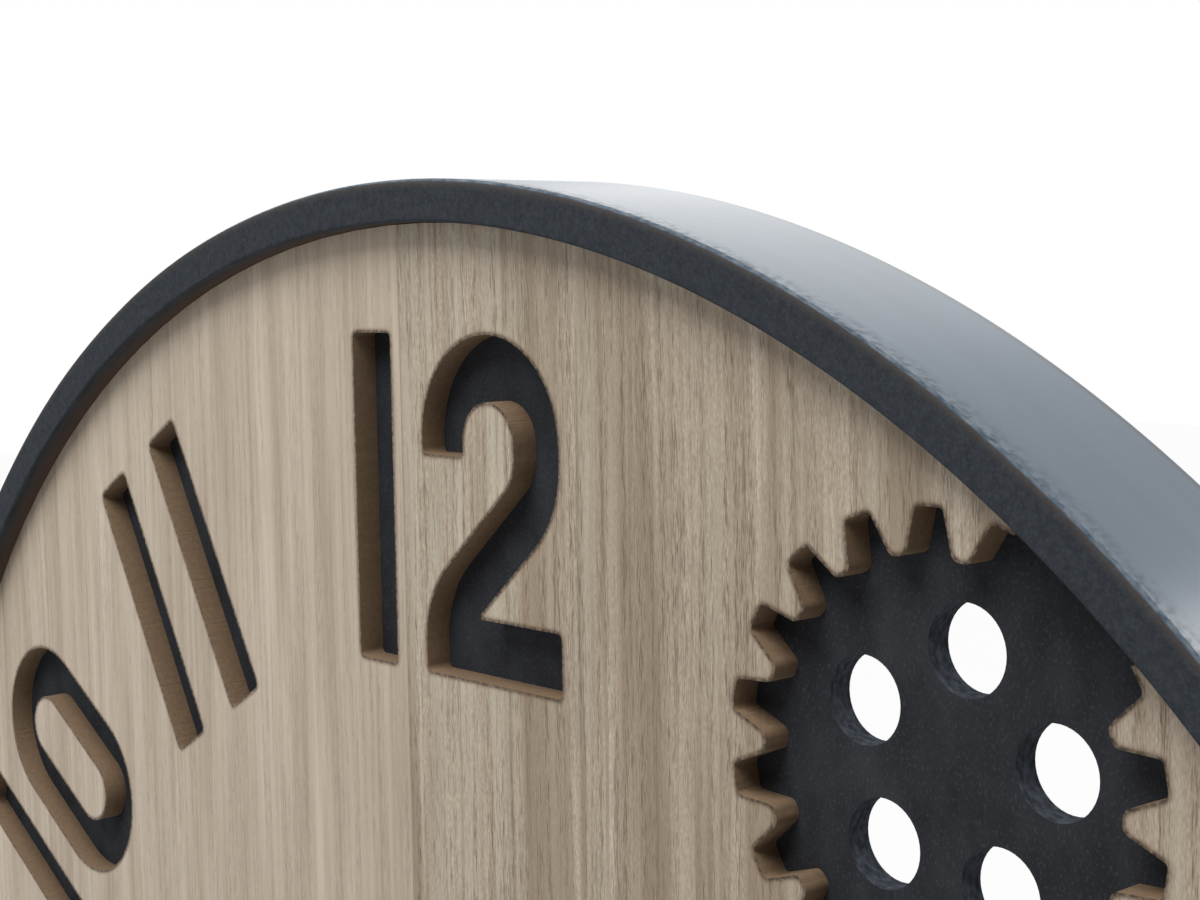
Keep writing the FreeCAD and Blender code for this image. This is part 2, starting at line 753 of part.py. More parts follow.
centre_axis = (as_size(0), as_size(0))
third_axis = wheel_place(centre_axis, CENTRE_TEETH, TRAIN_PINION_TEETH, s.train_module, THIRD_DIRECTION)
second_axis = wheel_place(third_axis, THIRD_TEETH, TRAIN_PINION_TEETH, s.train_module, SECOND_DIRECTION)
fifth_axis = wheel_place(second_axis, SECOND_TEETH, TRAIN_PINION_TEETH, s.train_module, FIFTH_DIRECTION)
rotor_axis = wheel_place(fifth_axis, FIFTH_TEETH, ROTOR_PINION_TEETH, s.train_module, ROTOR_DIRECTION)
motion_axis = wheel_place(centre_axis, CANNON_TEETH, MOTION_TEETH, s.motion_module, MOTION_DIRECTION)
knob_axis = wheel_place(motion_axis, MOTION_TEETH, CANNON_TEETH, s.motion_module, KNOB_DIRECTION)
PIVOTED_AXES = {"third": third_axis, "second": second_axis, "fifth": fifth_axis, "rotor": rotor_axis}
motion_front = inside_front + s.hour_wheel_place - s.pinion_height / 4
motion_wheel_front = inside_front + s.cannon_pinion_place + s.pinion_height / 4
motion_back = motion_wheel_front + s.wheel_thickness
core_x = rotor_axis[0] + s.core_offset
stator_top = rotor_axis[1] + s.stator_reach
coil_top = rotor_axis[1] - s.stator_reach
coil_foot = coil_top - s.coil_length
stator_front = inside_front + s.stator_place
stator_back = stator_front + s.stator_thickness
post_foot = coil_foot - s.stator_leg / 2
circuit_front = inside_front + s.circuit_place
circuit_left = case_left + s.case_wall
circuit_top = case_top - s.case_wall * 2


def toothed(teeth, module, front, height, phase):
    """A spur wheel or pinion of straight-sided teeth about the origin's Y axis."""
    pitch_radius = float(module) * teeth / 2
    tip = pitch_radius + ADDENDUM_SHARE * float(module)
    root = pitch_radius - DEDENDUM_SHARE * float(module)
    face = polygon(tooth_points(teeth, tip, root, WHEEL_TIP_SHARE, WHEEL_ROOT_SHARE, phase))
    face.translate(Vector(0, float(front), 0))
    return face.extrude(Vector(0, float(height), 0))


def rod(radius, front, back):
    base = Vector(0, float(front), 0)
    return Part.makeCylinder(float(radius), float(back) - float(front), base, Vector(0, 1, 0))


def wheel(name, axis, wheel_teeth, wheel_front, pinion_teeth, pinion_front, phase, module):
    """A wheel, its pinion and its arbor moulded as one, running in pivot holes at both ends."""
    arbor = rod(s.pivot_radius, inside_front - s.pivot_depth, inside_back + s.pivot_depth)
    rim = toothed(wheel_teeth, module, wheel_front, s.wheel_thickness, phase)
    pinion = toothed(pinion_teeth, module, pinion_front, s.pinion_height, phase)
    low, high = sorted([float(wheel_front), float(pinion_front)])
    hub = rod(s.arbor_radius, low, high + float(s.wheel_thickness))
    return shaped(name, arbor.fuse([rim, pinion, hub]), at(axis[0], axis[1]))


# Rest angles of the wheels, each in mesh with the one before it
centre_phase = 0.0
third_phase = mesh_phase(centre_phase, CENTRE_TEETH, TRAIN_PINION_TEETH, THIRD_DIRECTION)
second_phase = mesh_phase(third_phase, THIRD_TEETH, TRAIN_PINION_TEETH, SECOND_DIRECTION)
fifth_phase = mesh_phase(second_phase, SECOND_TEETH, TRAIN_PINION_TEETH, FIFTH_DIRECTION)
rotor_phase = mesh_phase(fifth_phase, FIFTH_TEETH, ROTOR_PINION_TEETH, ROTOR_DIRECTION)
motion_phase = mesh_phase(centre_phase, CANNON_TEETH, MOTION_TEETH, MOTION_DIRECTION)
knob_phase = mesh_phase(motion_phase, MOTION_TEETH, CANNON_TEETH, KNOB_DIRECTION)
hour_phase = mesh_phase(motion_phase, MOTION_PINION_TEETH, HOUR_TEETH, MOTION_DIRECTION + 180.0)


def train():
    """The time train from the centre wheel to the rotor."""
    places = {name: inside_front + getattr(s, name + "_wheel_place")
              for name in ("centre", "third", "second", "fifth")}
    lead = (s.pinion_height - s.wheel_thickness) / 2
    module = s.train_module
    centre = toothed(CENTRE_TEETH, module, places["centre"], s.wheel_thickness, centre_phase)
    bore = rod(s.minute_tube_radius + s.running_gap, places["centre"], places["centre"] + s.wheel_thickness)
    centre = centre.cut(bore)
    third = wheel("third_wheel", third_axis, THIRD_TEETH, places["third"],
                  TRAIN_PINION_TEETH, places["centre"] - lead, third_phase, module)
    second = wheel("second_wheel", second_axis, SECOND_TEETH, places["second"],
                   TRAIN_PINION_TEETH, places["third"] - lead, second_phase, module)
    fifth = wheel("fifth_wheel", fifth_axis, FIFTH_TEETH, places["fifth"],
                  TRAIN_PINION_TEETH, places["second"] - lead, fifth_phase, module)
    pinion = toothed(ROTOR_PINION_TEETH, module, places["fifth"] - lead, s.pinion_height, rotor_phase)
    arbor = rod(s.pivot_radius, inside_front - s.pivot_depth, inside_back + s.pivot_depth)
    magnet_front = stator_front + s.stator_thickness / 2 - s.magnet_height / 2
    magnet = rod(s.magnet_radius, magnet_front, magnet_front + s.magnet_height)
    neck = rod(s.arbor_radius, magnet_front + s.magnet_height, places["fifth"] - lead)
    axis = at(rotor_axis[0], rotor_axis[1])
    rotor = shaped("rotor_pinion", arbor.fuse([pinion, neck]), axis)
    bored = magnet.cut(rod(s.pivot_radius, magnet_front, magnet_front + s.magnet_height))
    return [shaped("centre_wheel", centre), third, second, fifth, rotor, shaped("rotor_magnet", bored, axis)]


def motion_work():
    """The twelve to one gearing behind the dial, and the arbors that carry the hands."""
    hour_front = inside_front + s.hour_wheel_place
    cannon_front = inside_front + s.cannon_pinion_place
    module = s.motion_module
    tube_bar = rod(s.hour_tube_radius, hour_hand_front, hour_front)
    hour = tube_bar.fuse(toothed(HOUR_TEETH, module, hour_front, s.wheel_thickness, hour_phase))
    bore = rod(s.minute_tube_radius + s.running_gap, hour_hand_front, hour_front + s.wheel_thickness)
    hour = hour.cut(bore)
    centre_back = inside_front + s.centre_wheel_place + s.wheel_thickness
    pieces = [rod(s.minute_tube_radius, minute_hand_back, centre_back),
              rod(s.hand_thread_radius, hand_nut_front + s.hand_nut_wall, minute_hand_back),
              rod(s.arbor_radius, centre_back, inside_back),
              rod(s.pivot_radius, inside_back, inside_back + s.pivot_depth)]
    cannon = toothed(CANNON_TEETH, module, cannon_front, s.pinion_height, centre_phase)
    minute = cannon.fuse(pieces)
    rim = toothed(MOTION_TEETH, module, motion_wheel_front, s.wheel_thickness, motion_phase)
    pinion = toothed(MOTION_PINION_TEETH, module, motion_front, s.pinion_height, motion_phase)
    motion = rim.fuse([pinion, rod(s.arbor_radius, motion_front, motion_back)])
    motion = motion.cut(rod(s.pivot_radius + s.running_gap, motion_front, motion_back))
    return [shaped("hour_wheel", hour), shaped("minute_arbor", minute),
            shaped("motion_wheel", motion, at(motion_axis[0], motion_axis[1]))]


def setting_knob():
    pinion_front = inside_front + s.cannon_pinion_place
    knob_front = case_back + s.knob_gap
    pinion = toothed(CANNON_TEETH, s.motion_module, pinion_front, s.pinion_height, knob_phase)
    pieces = [rod(s.pivot_radius, inside_front - s.pivot_depth, pinion_front),
              rod(s.knob_arbor_radius, pinion_front, knob_front)]
    radius = float(s.knob_radius)
    rim = polygon(tooth_points(KNOB_GROOVES, radius, radius - float(s.knob_groove), KNOB_TIP_SHARE,
                               KNOB_ROOT_SHARE, 0.0))
    rim.translate(Vector(0, float(knob_front), 0))
    rim = rim.extrude(Vector(0, float(s.knob_height), 0))
    return shaped("setting_knob", pinion.fuse(pieces + [rim]), at(knob_axis[0], knob_axis[1]))


def rounded_box(name, low, high, corner):
    """A box whose four edges along Y are rounded."""
    blank = box(name + "_blank", low, high)
    doc.recompute()
    item = doc.addObject("Part::Fillet", name)
    item.Base = blank
    edges = enumerate(blank.Shape.Edges, start=1)
    along = [number for number, edge in edges if round(abs(edge.tangentAt(edge.FirstParameter).y)) == 1]
    item.Edges = [(number, float(corner), float(corner)) for number in along]
    return item


def movement_case():
    """The open-backed moulding: wheel chamber above, cell bay below."""
    shell = rounded_box("case_shell", (case_left, case_front, case_foot), (case_right, inside_back, case_top),
                        s.case_corner)
    inside_left, inside_right = case_left + s.case_wall, case_right - s.case_wall
    chamber = box("case_chamber", (inside_left, inside_front, chamber_foot),
                  (inside_right, inside_back, case_top - s.case_wall))
    bay = box("case_bay", (inside_left, inside_front, bay_foot), (inside_right, inside_back, bay_top))
    bushing_hole = cylinder("case_bushing_hole", s.bushing_radius, case_front, inside_front)
    running = s.pivot_radius + s.running_gap
    pivots = dict(PIVOTED_AXES, knob=knob_axis)
    holes = [cylinder(f"case_pivot_{name}", running, inside_front - s.pivot_depth, inside_front, *axis)
             for name, axis in pivots.items()]
    hollow = cut("case_hollow", shell, chamber, bay, bushing_hole, *holes)
    posts = [cylinder("motion_stud", s.pivot_radius, inside_front, motion_back, *motion_axis),
             cylinder("stator_post_1", s.post_radius, inside_front, stator_front,
                      rotor_axis[0] - s.stator_left + s.post_radius, post_foot),
             cylinder("stator_post_2", s.post_radius, inside_front, stator_front, core_x, post_foot),
             cylinder("stator_post_3", s.post_radius, inside_front, stator_front, core_x,
                      stator_top - s.post_radius),
             cylinder("circuit_post_1", s.post_radius, inside_front, circuit_front,
                      circuit_left + s.circuit_width / 2, circuit_top - s.post_radius * 2),
             cylinder("circuit_post_2", s.post_radius, inside_front, circuit_front,
                      circuit_left + s.circuit_width / 2, circuit_top - s.circuit_height + s.post_radius * 2)]
    return fuse("movement_case", hollow, *posts)


def movement_cover():
    """The snap-on lid of the wheel chamber, which leaves the cell bay open."""
    plate = rounded_box("cover_plate", (case_left, inside_back, bay_top), (case_right, case_back, case_top),
                        s.case_corner)
    running = s.pivot_radius + s.running_gap
    pivots = dict(PIVOTED_AXES, centre=centre_axis)
    holes = [cylinder(f"cover_pivot_{name}", running, inside_back, inside_back + s.pivot_depth, *axis)
             for name, axis in pivots.items()]
    holes.append(cylinder("cover_knob_hole", s.knob_arbor_radius + s.running_gap, inside_back, case_back,
                          *knob_axis))
    return cut("movement_cover", plate, *holes)


washer_front = board_front - s.washer_thickness
nut_front = washer_front - s.nut_height
bushing_front = nut_front - s.bushing_spare


def bushing_and_nut():
    """The threaded bushing clamps the case to the back board; the thread is cut as plain grooves."""
    body, _ = turned_ring("threaded_bushing", s.hour_tube_radius + s.running_gap, s.bushing_radius,
                          bushing_front, inside_front)
    section = sketch_on(body, "YZ_Plane", "thread_section")
    sketched_rectangle(section, bushing_front + s.thread_groove, s.bushing_radius - s.thread_groove,
                       bushing_front + s.thread_groove * 2, s.bushing_radius)
    groove = body.newObject("PartDesign::Groove", "thread_groove")
    groove.Profile = section
    groove.ReferenceAxis = (section, ["H_Axis"])
    groove.Angle = 360
    doc.recompute()
    thread = body.newObject("PartDesign::LinearPattern", "thread")
    thread.Originals = [groove]
    thread.Direction = (section, ["H_Axis"])
    thread.Occurrences = THREAD_TURNS
    bind(thread, Length=s.thread_pitch * (THREAD_TURNS - 1))
    body.Tip = thread
    doc.recompute()
    if thread.Shape.Volume >= groove.Shape.Volume:
        raise RuntimeError("the thread's grooves cut nothing")
    nut = prism("fixing_nut_blank", 6, s.nut_across_flats, nut_front, washer_front)
    gasket, _ = turned_ring("dial_gasket", s.board_hole_radius, s.gasket_radius, board_back, case_front)
    washer, _ = turned_ring("dial_washer", s.board_hole_radius, s.washer_radius, washer_front, board_front)
    bore = cylinder("fixing_nut_bore", s.bushing_radius, nut_front, washer_front)
    return [body, cut("fixing_nut", nut, bore), gasket, washer]


def motor():
    """Stator lamination on its posts, with the coil's bobbin round its straight leg."""
    left = rotor_axis[0] - s.stator_left
    right = core_x + s.stator_leg / 2
    foot = coil_foot - s.stator_leg
    core_left = core_x - s.stator_leg / 2
    low, high = (left, stator_front, foot), (right, stator_back, stator_top)
    bars = [box("stator_left_leg", low, (left + s.stator_leg, stator_back, stator_top)),
            box("stator_foot_bar", low, (right, stator_back, coil_foot)),
            box("stator_head_bar", (left, stator_front, coil_top), high),
            box("stator_core", (core_left, stator_front, foot), high)]
    hole = cylinder("stator_rotor_hole", s.stator_hole_radius, stator_front, stator_back, *rotor_axis)
    stator = cut("stator", fuse("stator_bars", *bars), hole)
    middle = stator_front + s.stator_thickness / 2

    def upright(name, radius, low, high):
        item = bind(doc.addObject("Part::Cylinder", name), Radius=radius, Height=high - low)
        return place(item, core_x, middle, low)

    core = box("bobbin_bore", (core_left, stator_front, coil_foot), (right, stator_back, coil_top))
    winding_foot, winding_top = coil_foot + s.bobbin_flange, coil_top - s.bobbin_flange
    spool = fuse("bobbin_spool", upright("bobbin_core", s.bobbin_core, coil_foot, coil_top),
                 upright("bobbin_foot_flange", s.bobbin_radius, coil_foot, winding_foot),
                 upright("bobbin_head_flange", s.bobbin_radius, winding_top, coil_top))
    winding = cut("coil_winding", upright("winding_blank", s.coil_radius, winding_foot, winding_top),
                  upright("winding_bore", s.bobbin_core, winding_foot, winding_top))
    return [stator, cut("coil_bobbin", spool, core), winding]


def circuit():
    back = circuit_front + s.circuit_thickness
    right = circuit_left + s.circuit_width
    board = box("circuit_board", (circuit_left, circuit_front, circuit_top - s.circuit_height),
                (right, back, circuit_top))
    middle = circuit_left + s.circuit_width / 2
    quartz = doc.addObject("Part::Cylinder", "quartz_can")
    bind(quartz, Radius=s.quartz_radius, Height=s.quartz_length)
    place(quartz, middle, back + s.quartz_radius, circuit_top - s.circuit_height / 4 - s.quartz_length)
    chip = cylinder("chip_cap", s.chip_radius, back, back + s.chip_height, middle,
                    circuit_top - s.circuit_height * 3 / 4)
    return [board, quartz, chip]


def round_along_x(name, radius, left, right, y):
    """A round bar along X in the middle of the cell bay."""
    item = bind(doc.addObject("Part::Cylinder", name), Radius=radius, Height=right - left)
    return place(item, left, y, bay_middle, Rotation(Vector(0, 1, 0), 90))


def cell_and_contacts():
    """The cell lies across the bay, its nub against a domed plate, its foot against a bent leaf."""
    axis_y = inside_front + s.cell_radius + s.cell_gap
    wall_left, wall_right = case_left + s.case_wall, case_right - s.case_wall
    dome_end = wall_left + s.contact_thickness * 2
    can_left = dome_end + s.cell_nub_length
    can_right = can_left + s.cell_length
    can = round_along_x("cell_can", s.cell_radius, can_left, can_right, axis_y)
    nub = round_along_x("cell_nub", s.cell_nub_radius, dome_end, can_left, axis_y)
    half = s.contact_width / 2
    plate = box("plus_plate", (wall_left, axis_y - half, bay_middle - half),
                (wall_left + s.contact_thickness, axis_y + half, bay_middle + half))
    dome_start = wall_left + s.contact_thickness
    dome = round_along_x("plus_dome", s.contact_dome_radius, dome_start, dome_end, axis_y)
    strip = float(s.contact_thickness)
    foot, top = float(bay_middle - half), float(bay_middle + half)
    near, wall = float(can_right), float(wall_right)
    points = [(wall, foot), (wall, top), (wall - strip, top), (wall - strip, foot + strip),
              (near + strip, float(bay_middle)), (near + strip, top - strip), (near, top - strip),
              (near, float(bay_middle)), (wall - strip, foot)]
    leaf = polygon(points).extrude(Vector(0, float(s.contact_width), 0))
    return [fuse("battery_cell", can, nub), fuse("contact_plus", plate, dome),
            shaped("contact_minus", leaf, Vector(0, float(axis_y - half), 0))]


parts = [hoop(), *boards(), glue_blocks(), wall_pads(), *hanger(), *hands(), movement_case(),
         movement_cover(), *bushing_and_nut(), *train(), *motion_work(), setting_knob(), *motor(),
         *circuit(), *cell_and_contacts()]
doc.recompute()

for item in doc.Objects:
    if "Invalid" in item.State or "Error" in item.State:
        raise RuntimeError(f"{item.Name} failed: {item.State}")

os.makedirs("parts", exist_ok=True)
for item in parts:
    item.Label = item.Name
    if item.Shape.isNull() or not item.Shape.isValid():
        raise RuntimeError(f"{item.Name} has no valid shape")
for item in parts:
    item.Shape.exportStep(f"parts/{item.Label}.step")
    print(item.Label, len(item.Shape.Solids), "solids", round(item.Shape.Volume, 1), "mm3")
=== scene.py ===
# %% [markdown]
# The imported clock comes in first: every wooden board, wheel and screw is already where it belongs, in
# metres. The clock stands upright, its dial towards -Y and +Z up. Nothing of it is moved here. It could be
# modelled again in Blender, but then its wheels would no longer mesh, so it only gets finishes and small
# added pieces.

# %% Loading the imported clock
import math
import bmesh
import bpy
import numpy as np
from mathutils import Matrix, Vector


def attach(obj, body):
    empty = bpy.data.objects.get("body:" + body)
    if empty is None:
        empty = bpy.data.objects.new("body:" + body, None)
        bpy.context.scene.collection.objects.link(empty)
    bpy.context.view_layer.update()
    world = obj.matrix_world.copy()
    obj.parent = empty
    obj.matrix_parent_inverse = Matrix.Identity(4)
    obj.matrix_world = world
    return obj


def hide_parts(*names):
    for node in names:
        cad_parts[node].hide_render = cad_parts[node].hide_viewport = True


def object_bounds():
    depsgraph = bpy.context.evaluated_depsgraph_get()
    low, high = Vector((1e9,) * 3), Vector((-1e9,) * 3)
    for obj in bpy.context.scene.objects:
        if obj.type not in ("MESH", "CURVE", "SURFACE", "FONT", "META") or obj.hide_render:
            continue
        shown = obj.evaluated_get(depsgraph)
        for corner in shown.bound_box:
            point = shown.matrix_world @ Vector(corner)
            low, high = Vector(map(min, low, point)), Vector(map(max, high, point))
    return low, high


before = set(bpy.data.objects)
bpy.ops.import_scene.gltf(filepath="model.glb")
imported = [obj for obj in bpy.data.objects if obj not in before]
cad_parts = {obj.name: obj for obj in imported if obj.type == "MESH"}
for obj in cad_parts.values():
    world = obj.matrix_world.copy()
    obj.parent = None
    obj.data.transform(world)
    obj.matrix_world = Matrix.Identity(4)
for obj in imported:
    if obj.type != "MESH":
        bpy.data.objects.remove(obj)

cad_low, cad_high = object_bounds()
print("clock of", [round(size * 1000, 1) for size in cad_high - cad_low], "mm")

# %% [markdown]
# The camera stands close to the right of the clock and a little above its middle, so that the top of the
# dial fills the picture and the rim runs out of it. A camera could be aimed at a target, but its place and
# its three turns are worked out from the rim's ellipse, so they are given as they are.

# %% The camera
CAMERA_PLACE = Vector((0.37581, -0.31872, 0.27831))
CAMERA_YAW, CAMERA_PITCH, CAMERA_ROLL = (math.radians(turn) for turn in (-48.154, -5.066, 0.9835))
LENS_MM, SENSOR_MM = 60.43, 36.0

ahead = Vector((math.sin(CAMERA_YAW) * math.cos(CAMERA_PITCH),
                math.cos(CAMERA_YAW) * math.cos(CAMERA_PITCH), math.sin(CAMERA_PITCH)))
level_right = Vector((math.cos(CAMERA_YAW), -math.sin(CAMERA_YAW), 0.0))
level_down = ahead.cross(level_right)
right = math.cos(CAMERA_ROLL) * level_right + math.sin(CAMERA_ROLL) * level_down
down = math.cos(CAMERA_ROLL) * level_down - math.sin(CAMERA_ROLL) * level_right
camera = bpy.data.objects.new("camera", bpy.data.cameras.new("camera"))
camera.data.lens, camera.data.sensor_width = LENS_MM, SENSOR_MM
camera.data.clip_start = 0.01
camera.matrix_world = Matrix.Translation(CAMERA_PLACE) @ Matrix((right, -down, -ahead)).transposed().to_4x4()
bpy.context.scene.collection.objects.link(camera)
bpy.context.scene.camera = camera
print("camera at", tuple(CAMERA_PLACE), "looking", tuple(round(part, 3) for part in ahead))

# %% [markdown]
# A material is a small tree of nodes. One helper adds a node with its options and gives it its inputs. An
# input may be a plain value, a hex colour, an output, or a whole node, which then stands for the first of
# its outputs that is in use. Colours are written as a paint shop would, in sRGB hex, and turned to linear
# light once.

# %% Helpers for colours and nodes
MM = 0.001
COLOURS = {"data_type": "RGBA"}


def linear(hex_colour):
    """sRGB hex to linear: c / 12.92 below 0.04045, else ((c + 0.055) / 1.055) to the power 2.4."""
    parts = [int(hex_colour[place:place + 2], 16) / 255 for place in (1, 3, 5)]
    return tuple(c / 12.92 if c <= 0.04045 else ((c + 0.055) / 1.055) ** 2.4 for c in parts) + (1.0,)


def feed(tree, node, inputs):
    """Sets or links a node's inputs, by name or by number."""
    for name, value in inputs.items():
        if isinstance(value, bpy.types.Node):
            value = next(output for output in value.outputs if output.enabled)
        if isinstance(value, bpy.types.NodeSocket):
            tree.links.new(value, node.inputs[name])
        else:
            node.inputs[name].default_value = linear(value) if isinstance(value, str) else value


def put(tree, kind, inputs=None, **options):
    """Adds a node of a kind, sets its options and feeds its inputs."""
    made = tree.nodes.new("ShaderNode" + kind)
    for name, value in options.items():
        setattr(made, name, value)
    feed(tree, made, inputs or {})
    return made


# %% [markdown]
# Nearly every surface here is two or more shades mixed by noise. Noise has no size of its own, so its
# coordinates are stretched first: a grain of 2 mm needs 500 of them to the metre. Wood needs another size
# along the grain, and none through it.

# %% Materials and their grain
def start(name):
    """A new material with one Principled shader: its tree, its shader and the object's coordinates."""
    material = bpy.data.materials.new(name)
    material.use_nodes = True
    tree = material.node_tree
    return material, tree, tree.nodes["Principled BSDF"], put(tree, "TexCoord").outputs["Object"]


def speckle(tree, place, size_mm, low=0.3, high=0.7, detail=3.0, seed=0.0):
    """Noise of grains of a size in mm, one per axis or 0 for none, stretched from low..high to 0..1."""
    scale = [1 / (size * MM) if size else 0.0 for size in size_mm]
    mapped = put(tree, "Mapping", {"Vector": place, "Scale": scale, "Location": (seed, seed, seed)})
    noise = put(tree, "TexNoise", {"Vector": mapped, "Scale": 1.0, "Detail": detail})
    return put(tree, "MapRange", {"Value": noise, "From Min": low, "From Max": high})


def dress(material, *names):
    """Gives CAD nodes their material, in every one of their slots."""
    for name in names:
        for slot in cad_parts[name].material_slots:
            slot.material = material
            dressed.add(name)
    print(material.name, "on", ", ".join(names))


dressed = set()

# %% [markdown]
# The dial's face is a greyish oak veneer with straight upright grain, in two leaves that meet a little left
# of the middle. The left leaf is calm. The right one has broad brown bands, pale streaks and lines of dark
# pores. A photograph of wood would slide round the edges, so each layer is noise stretched along Z, and a
# table says how large its grain is and how strongly each leaf shows it.

# %% Veneer face
LEAF_JOINT_X, JOINT_HALF, LEAF_BLEND = -8.0 * MM, 0.18 * MM, 0.4 * MM
GRAIN_BOW = 4.0 * MM                               # how far a line of grain wanders sideways
PORES_LEFT, PORES_MORE, JOINT_SHARE = 0.25, 0.45, 0.4
VENEER_LAYERS = (
    # grain in mm, low, high, detail, seed, share on the left leaf, how much more on the right, shade
    ((1.5, 0, 60), 0.42, 0.75, 3.0, 0.0, 0.32, 0.18, "#7d6f5c"),
    ((0.22, 0, 1.3), 0.36, 0.66, 1.0, 8.2, 0.14, 0.36, "#7e6f5b"),
    ((5.0, 0, 260), 0.50, 0.66, 2.0, 2.4, 0.10, 0.30, "#b9b2a1"),
    ((13, 0, 420), 0.46, 0.62, 3.0, 3.7, 0.14, 0.46, "#7f6d58"),
    ((2.6, 0, 200), 0.56, 0.68, 2.0, 6.9, 0.00, 0.34, "#6f5a45"),
)


def veneer_face(tree, place, split):
    """A ground with the table's layers mixed over it, then the pores and the joint; also gives the pores."""
    bow = speckle(tree, place, (40, 0, 160), 0.0, 1.0)
    bowed = put(tree, "Math", {0: bow, 1: GRAIN_BOW, 2: split.outputs[0]}, operation="MULTIPLY_ADD")
    along = put(tree, "CombineXYZ", {0: bowed, 2: split.outputs[2]})
    right_leaf = put(tree, "MapRange", {"Value": split.outputs[0], "From Min": LEAF_JOINT_X,
                                        "From Max": LEAF_JOINT_X + LEAF_BLEND})
    colour = put(tree, "Mix", {0: speckle(tree, along, (7, 0, 130), 0.32, 0.7), 6: "#c8baa9", 7: "#ac9d8b"},
                 **COLOURS)
    for size_mm, low, high, detail, seed, left, more, shade in VENEER_LAYERS:
        strength = put(tree, "Math", {0: right_leaf, 1: more, 2: left}, operation="MULTIPLY_ADD")
        share = put(tree, "Math", {0: speckle(tree, along, size_mm, low, high, detail, seed), 1: strength},
                    operation="MULTIPLY")
        colour = put(tree, "Mix", {0: share, 6: colour, 7: shade}, **COLOURS)
    # Pores are dashes about 0.26 mm wide and 4 mm long, crowded into lines
    dashes = speckle(tree, along, (0.26, 0, 4.0), 0.46, 0.68, detail=1.0, seed=1.3)
    lines = speckle(tree, along, (1.7, 0, 90), 0.40, 0.60, seed=5.1)
    pores = put(tree, "Math", {0: dashes, 1: lines}, operation="MULTIPLY")
    strength = put(tree, "Math", {0: right_leaf, 1: PORES_MORE, 2: PORES_LEFT}, operation="MULTIPLY_ADD")
    share = put(tree, "Math", {0: pores, 1: strength}, operation="MULTIPLY")
    colour = put(tree, "Mix", {0: share, 6: colour, 7: "#54432f"}, **COLOURS)
    joint = put(tree, "Math", {0: split.outputs[0], 1: LEAF_JOINT_X, 2: JOINT_HALF}, operation="COMPARE")
    share = put(tree, "Math", {0: joint, 1: JOINT_SHARE}, operation="MULTIPLY")
    return put(tree, "Mix", {0: share, 6: colour, 7: "#5c4d3c"}, **COLOURS), pores


# %% [markdown]
# The board is cut by a laser. The beam leaves smooth walls, burnt brown, and they are drawn darker towards
# the back as painted shade; it leaves a ragged dark line round each edge of the face, and a faint brown breath
# of smoke beside it. Edges could be painted by hand; here the Bevel node tells them, because near an edge it
# turns the surface a little.

# %% Burnt edges and walls
DIAL_FRONT, DIAL_BACK = -37.6 * MM, -31.1 * MM     # the two faces of the dial board
LASER_REACH = 290.0 * MM                           # from the middle of the clock, just inside the board's rim
BEVEL_REACH = 2.6 * MM                             # how far from an edge the surface is turned
# Cosines of that turn, from the faintest trace inwards to the full one
SMOKE_STARTS, SMOKE_FULL, SMOKE_SHARE = 0.9995, 0.95, 0.45
LINE_STARTS, LINE_FULL = 0.985, 0.87


def burnt_edges(tree, geometry, place, ragged, face):
    """Mixes smoke and a dark line over the face, by the cosine between the bevelled and the plain direction.
    The board's own outer edge is sawn, so nothing is burnt there."""
    rounded = put(tree, "Bevel", {"Radius": BEVEL_REACH}, samples=8)
    turned = put(tree, "VectorMath", {0: rounded, 1: geometry.outputs["Normal"]}, operation="DOT_PRODUCT")
    from_middle = put(tree, "VectorMath", {0: place}, operation="LENGTH")
    by_laser = put(tree, "Math", {0: from_middle, 1: LASER_REACH}, operation="LESS_THAN")
    smoke = put(tree, "MapRange", {"Value": turned, "From Min": SMOKE_STARTS, "From Max": SMOKE_FULL,
                                   "To Max": SMOKE_SHARE})
    smoke = put(tree, "Math", {0: smoke, 1: by_laser}, operation="MULTIPLY")
    face = put(tree, "Mix", {0: smoke, 6: face, 7: "#7b5f42"}, **COLOURS)
    line = put(tree, "MapRange", {"Value": turned, "From Min": LINE_STARTS, "From Max": LINE_FULL})
    # Half the line is always there, and the other half comes and goes with the ragged noise
    strength = put(tree, "Math", {0: ragged, 1: 0.5, 2: 0.5}, operation="MULTIPLY_ADD")
    strength = put(tree, "Math", {0: strength, 1: by_laser}, operation="MULTIPLY")
    line = put(tree, "Math", {0: line, 1: strength}, operation="MULTIPLY")
    return put(tree, "Mix", {0: line, 6: face, 7: "#2a1e13"}, **COLOURS)


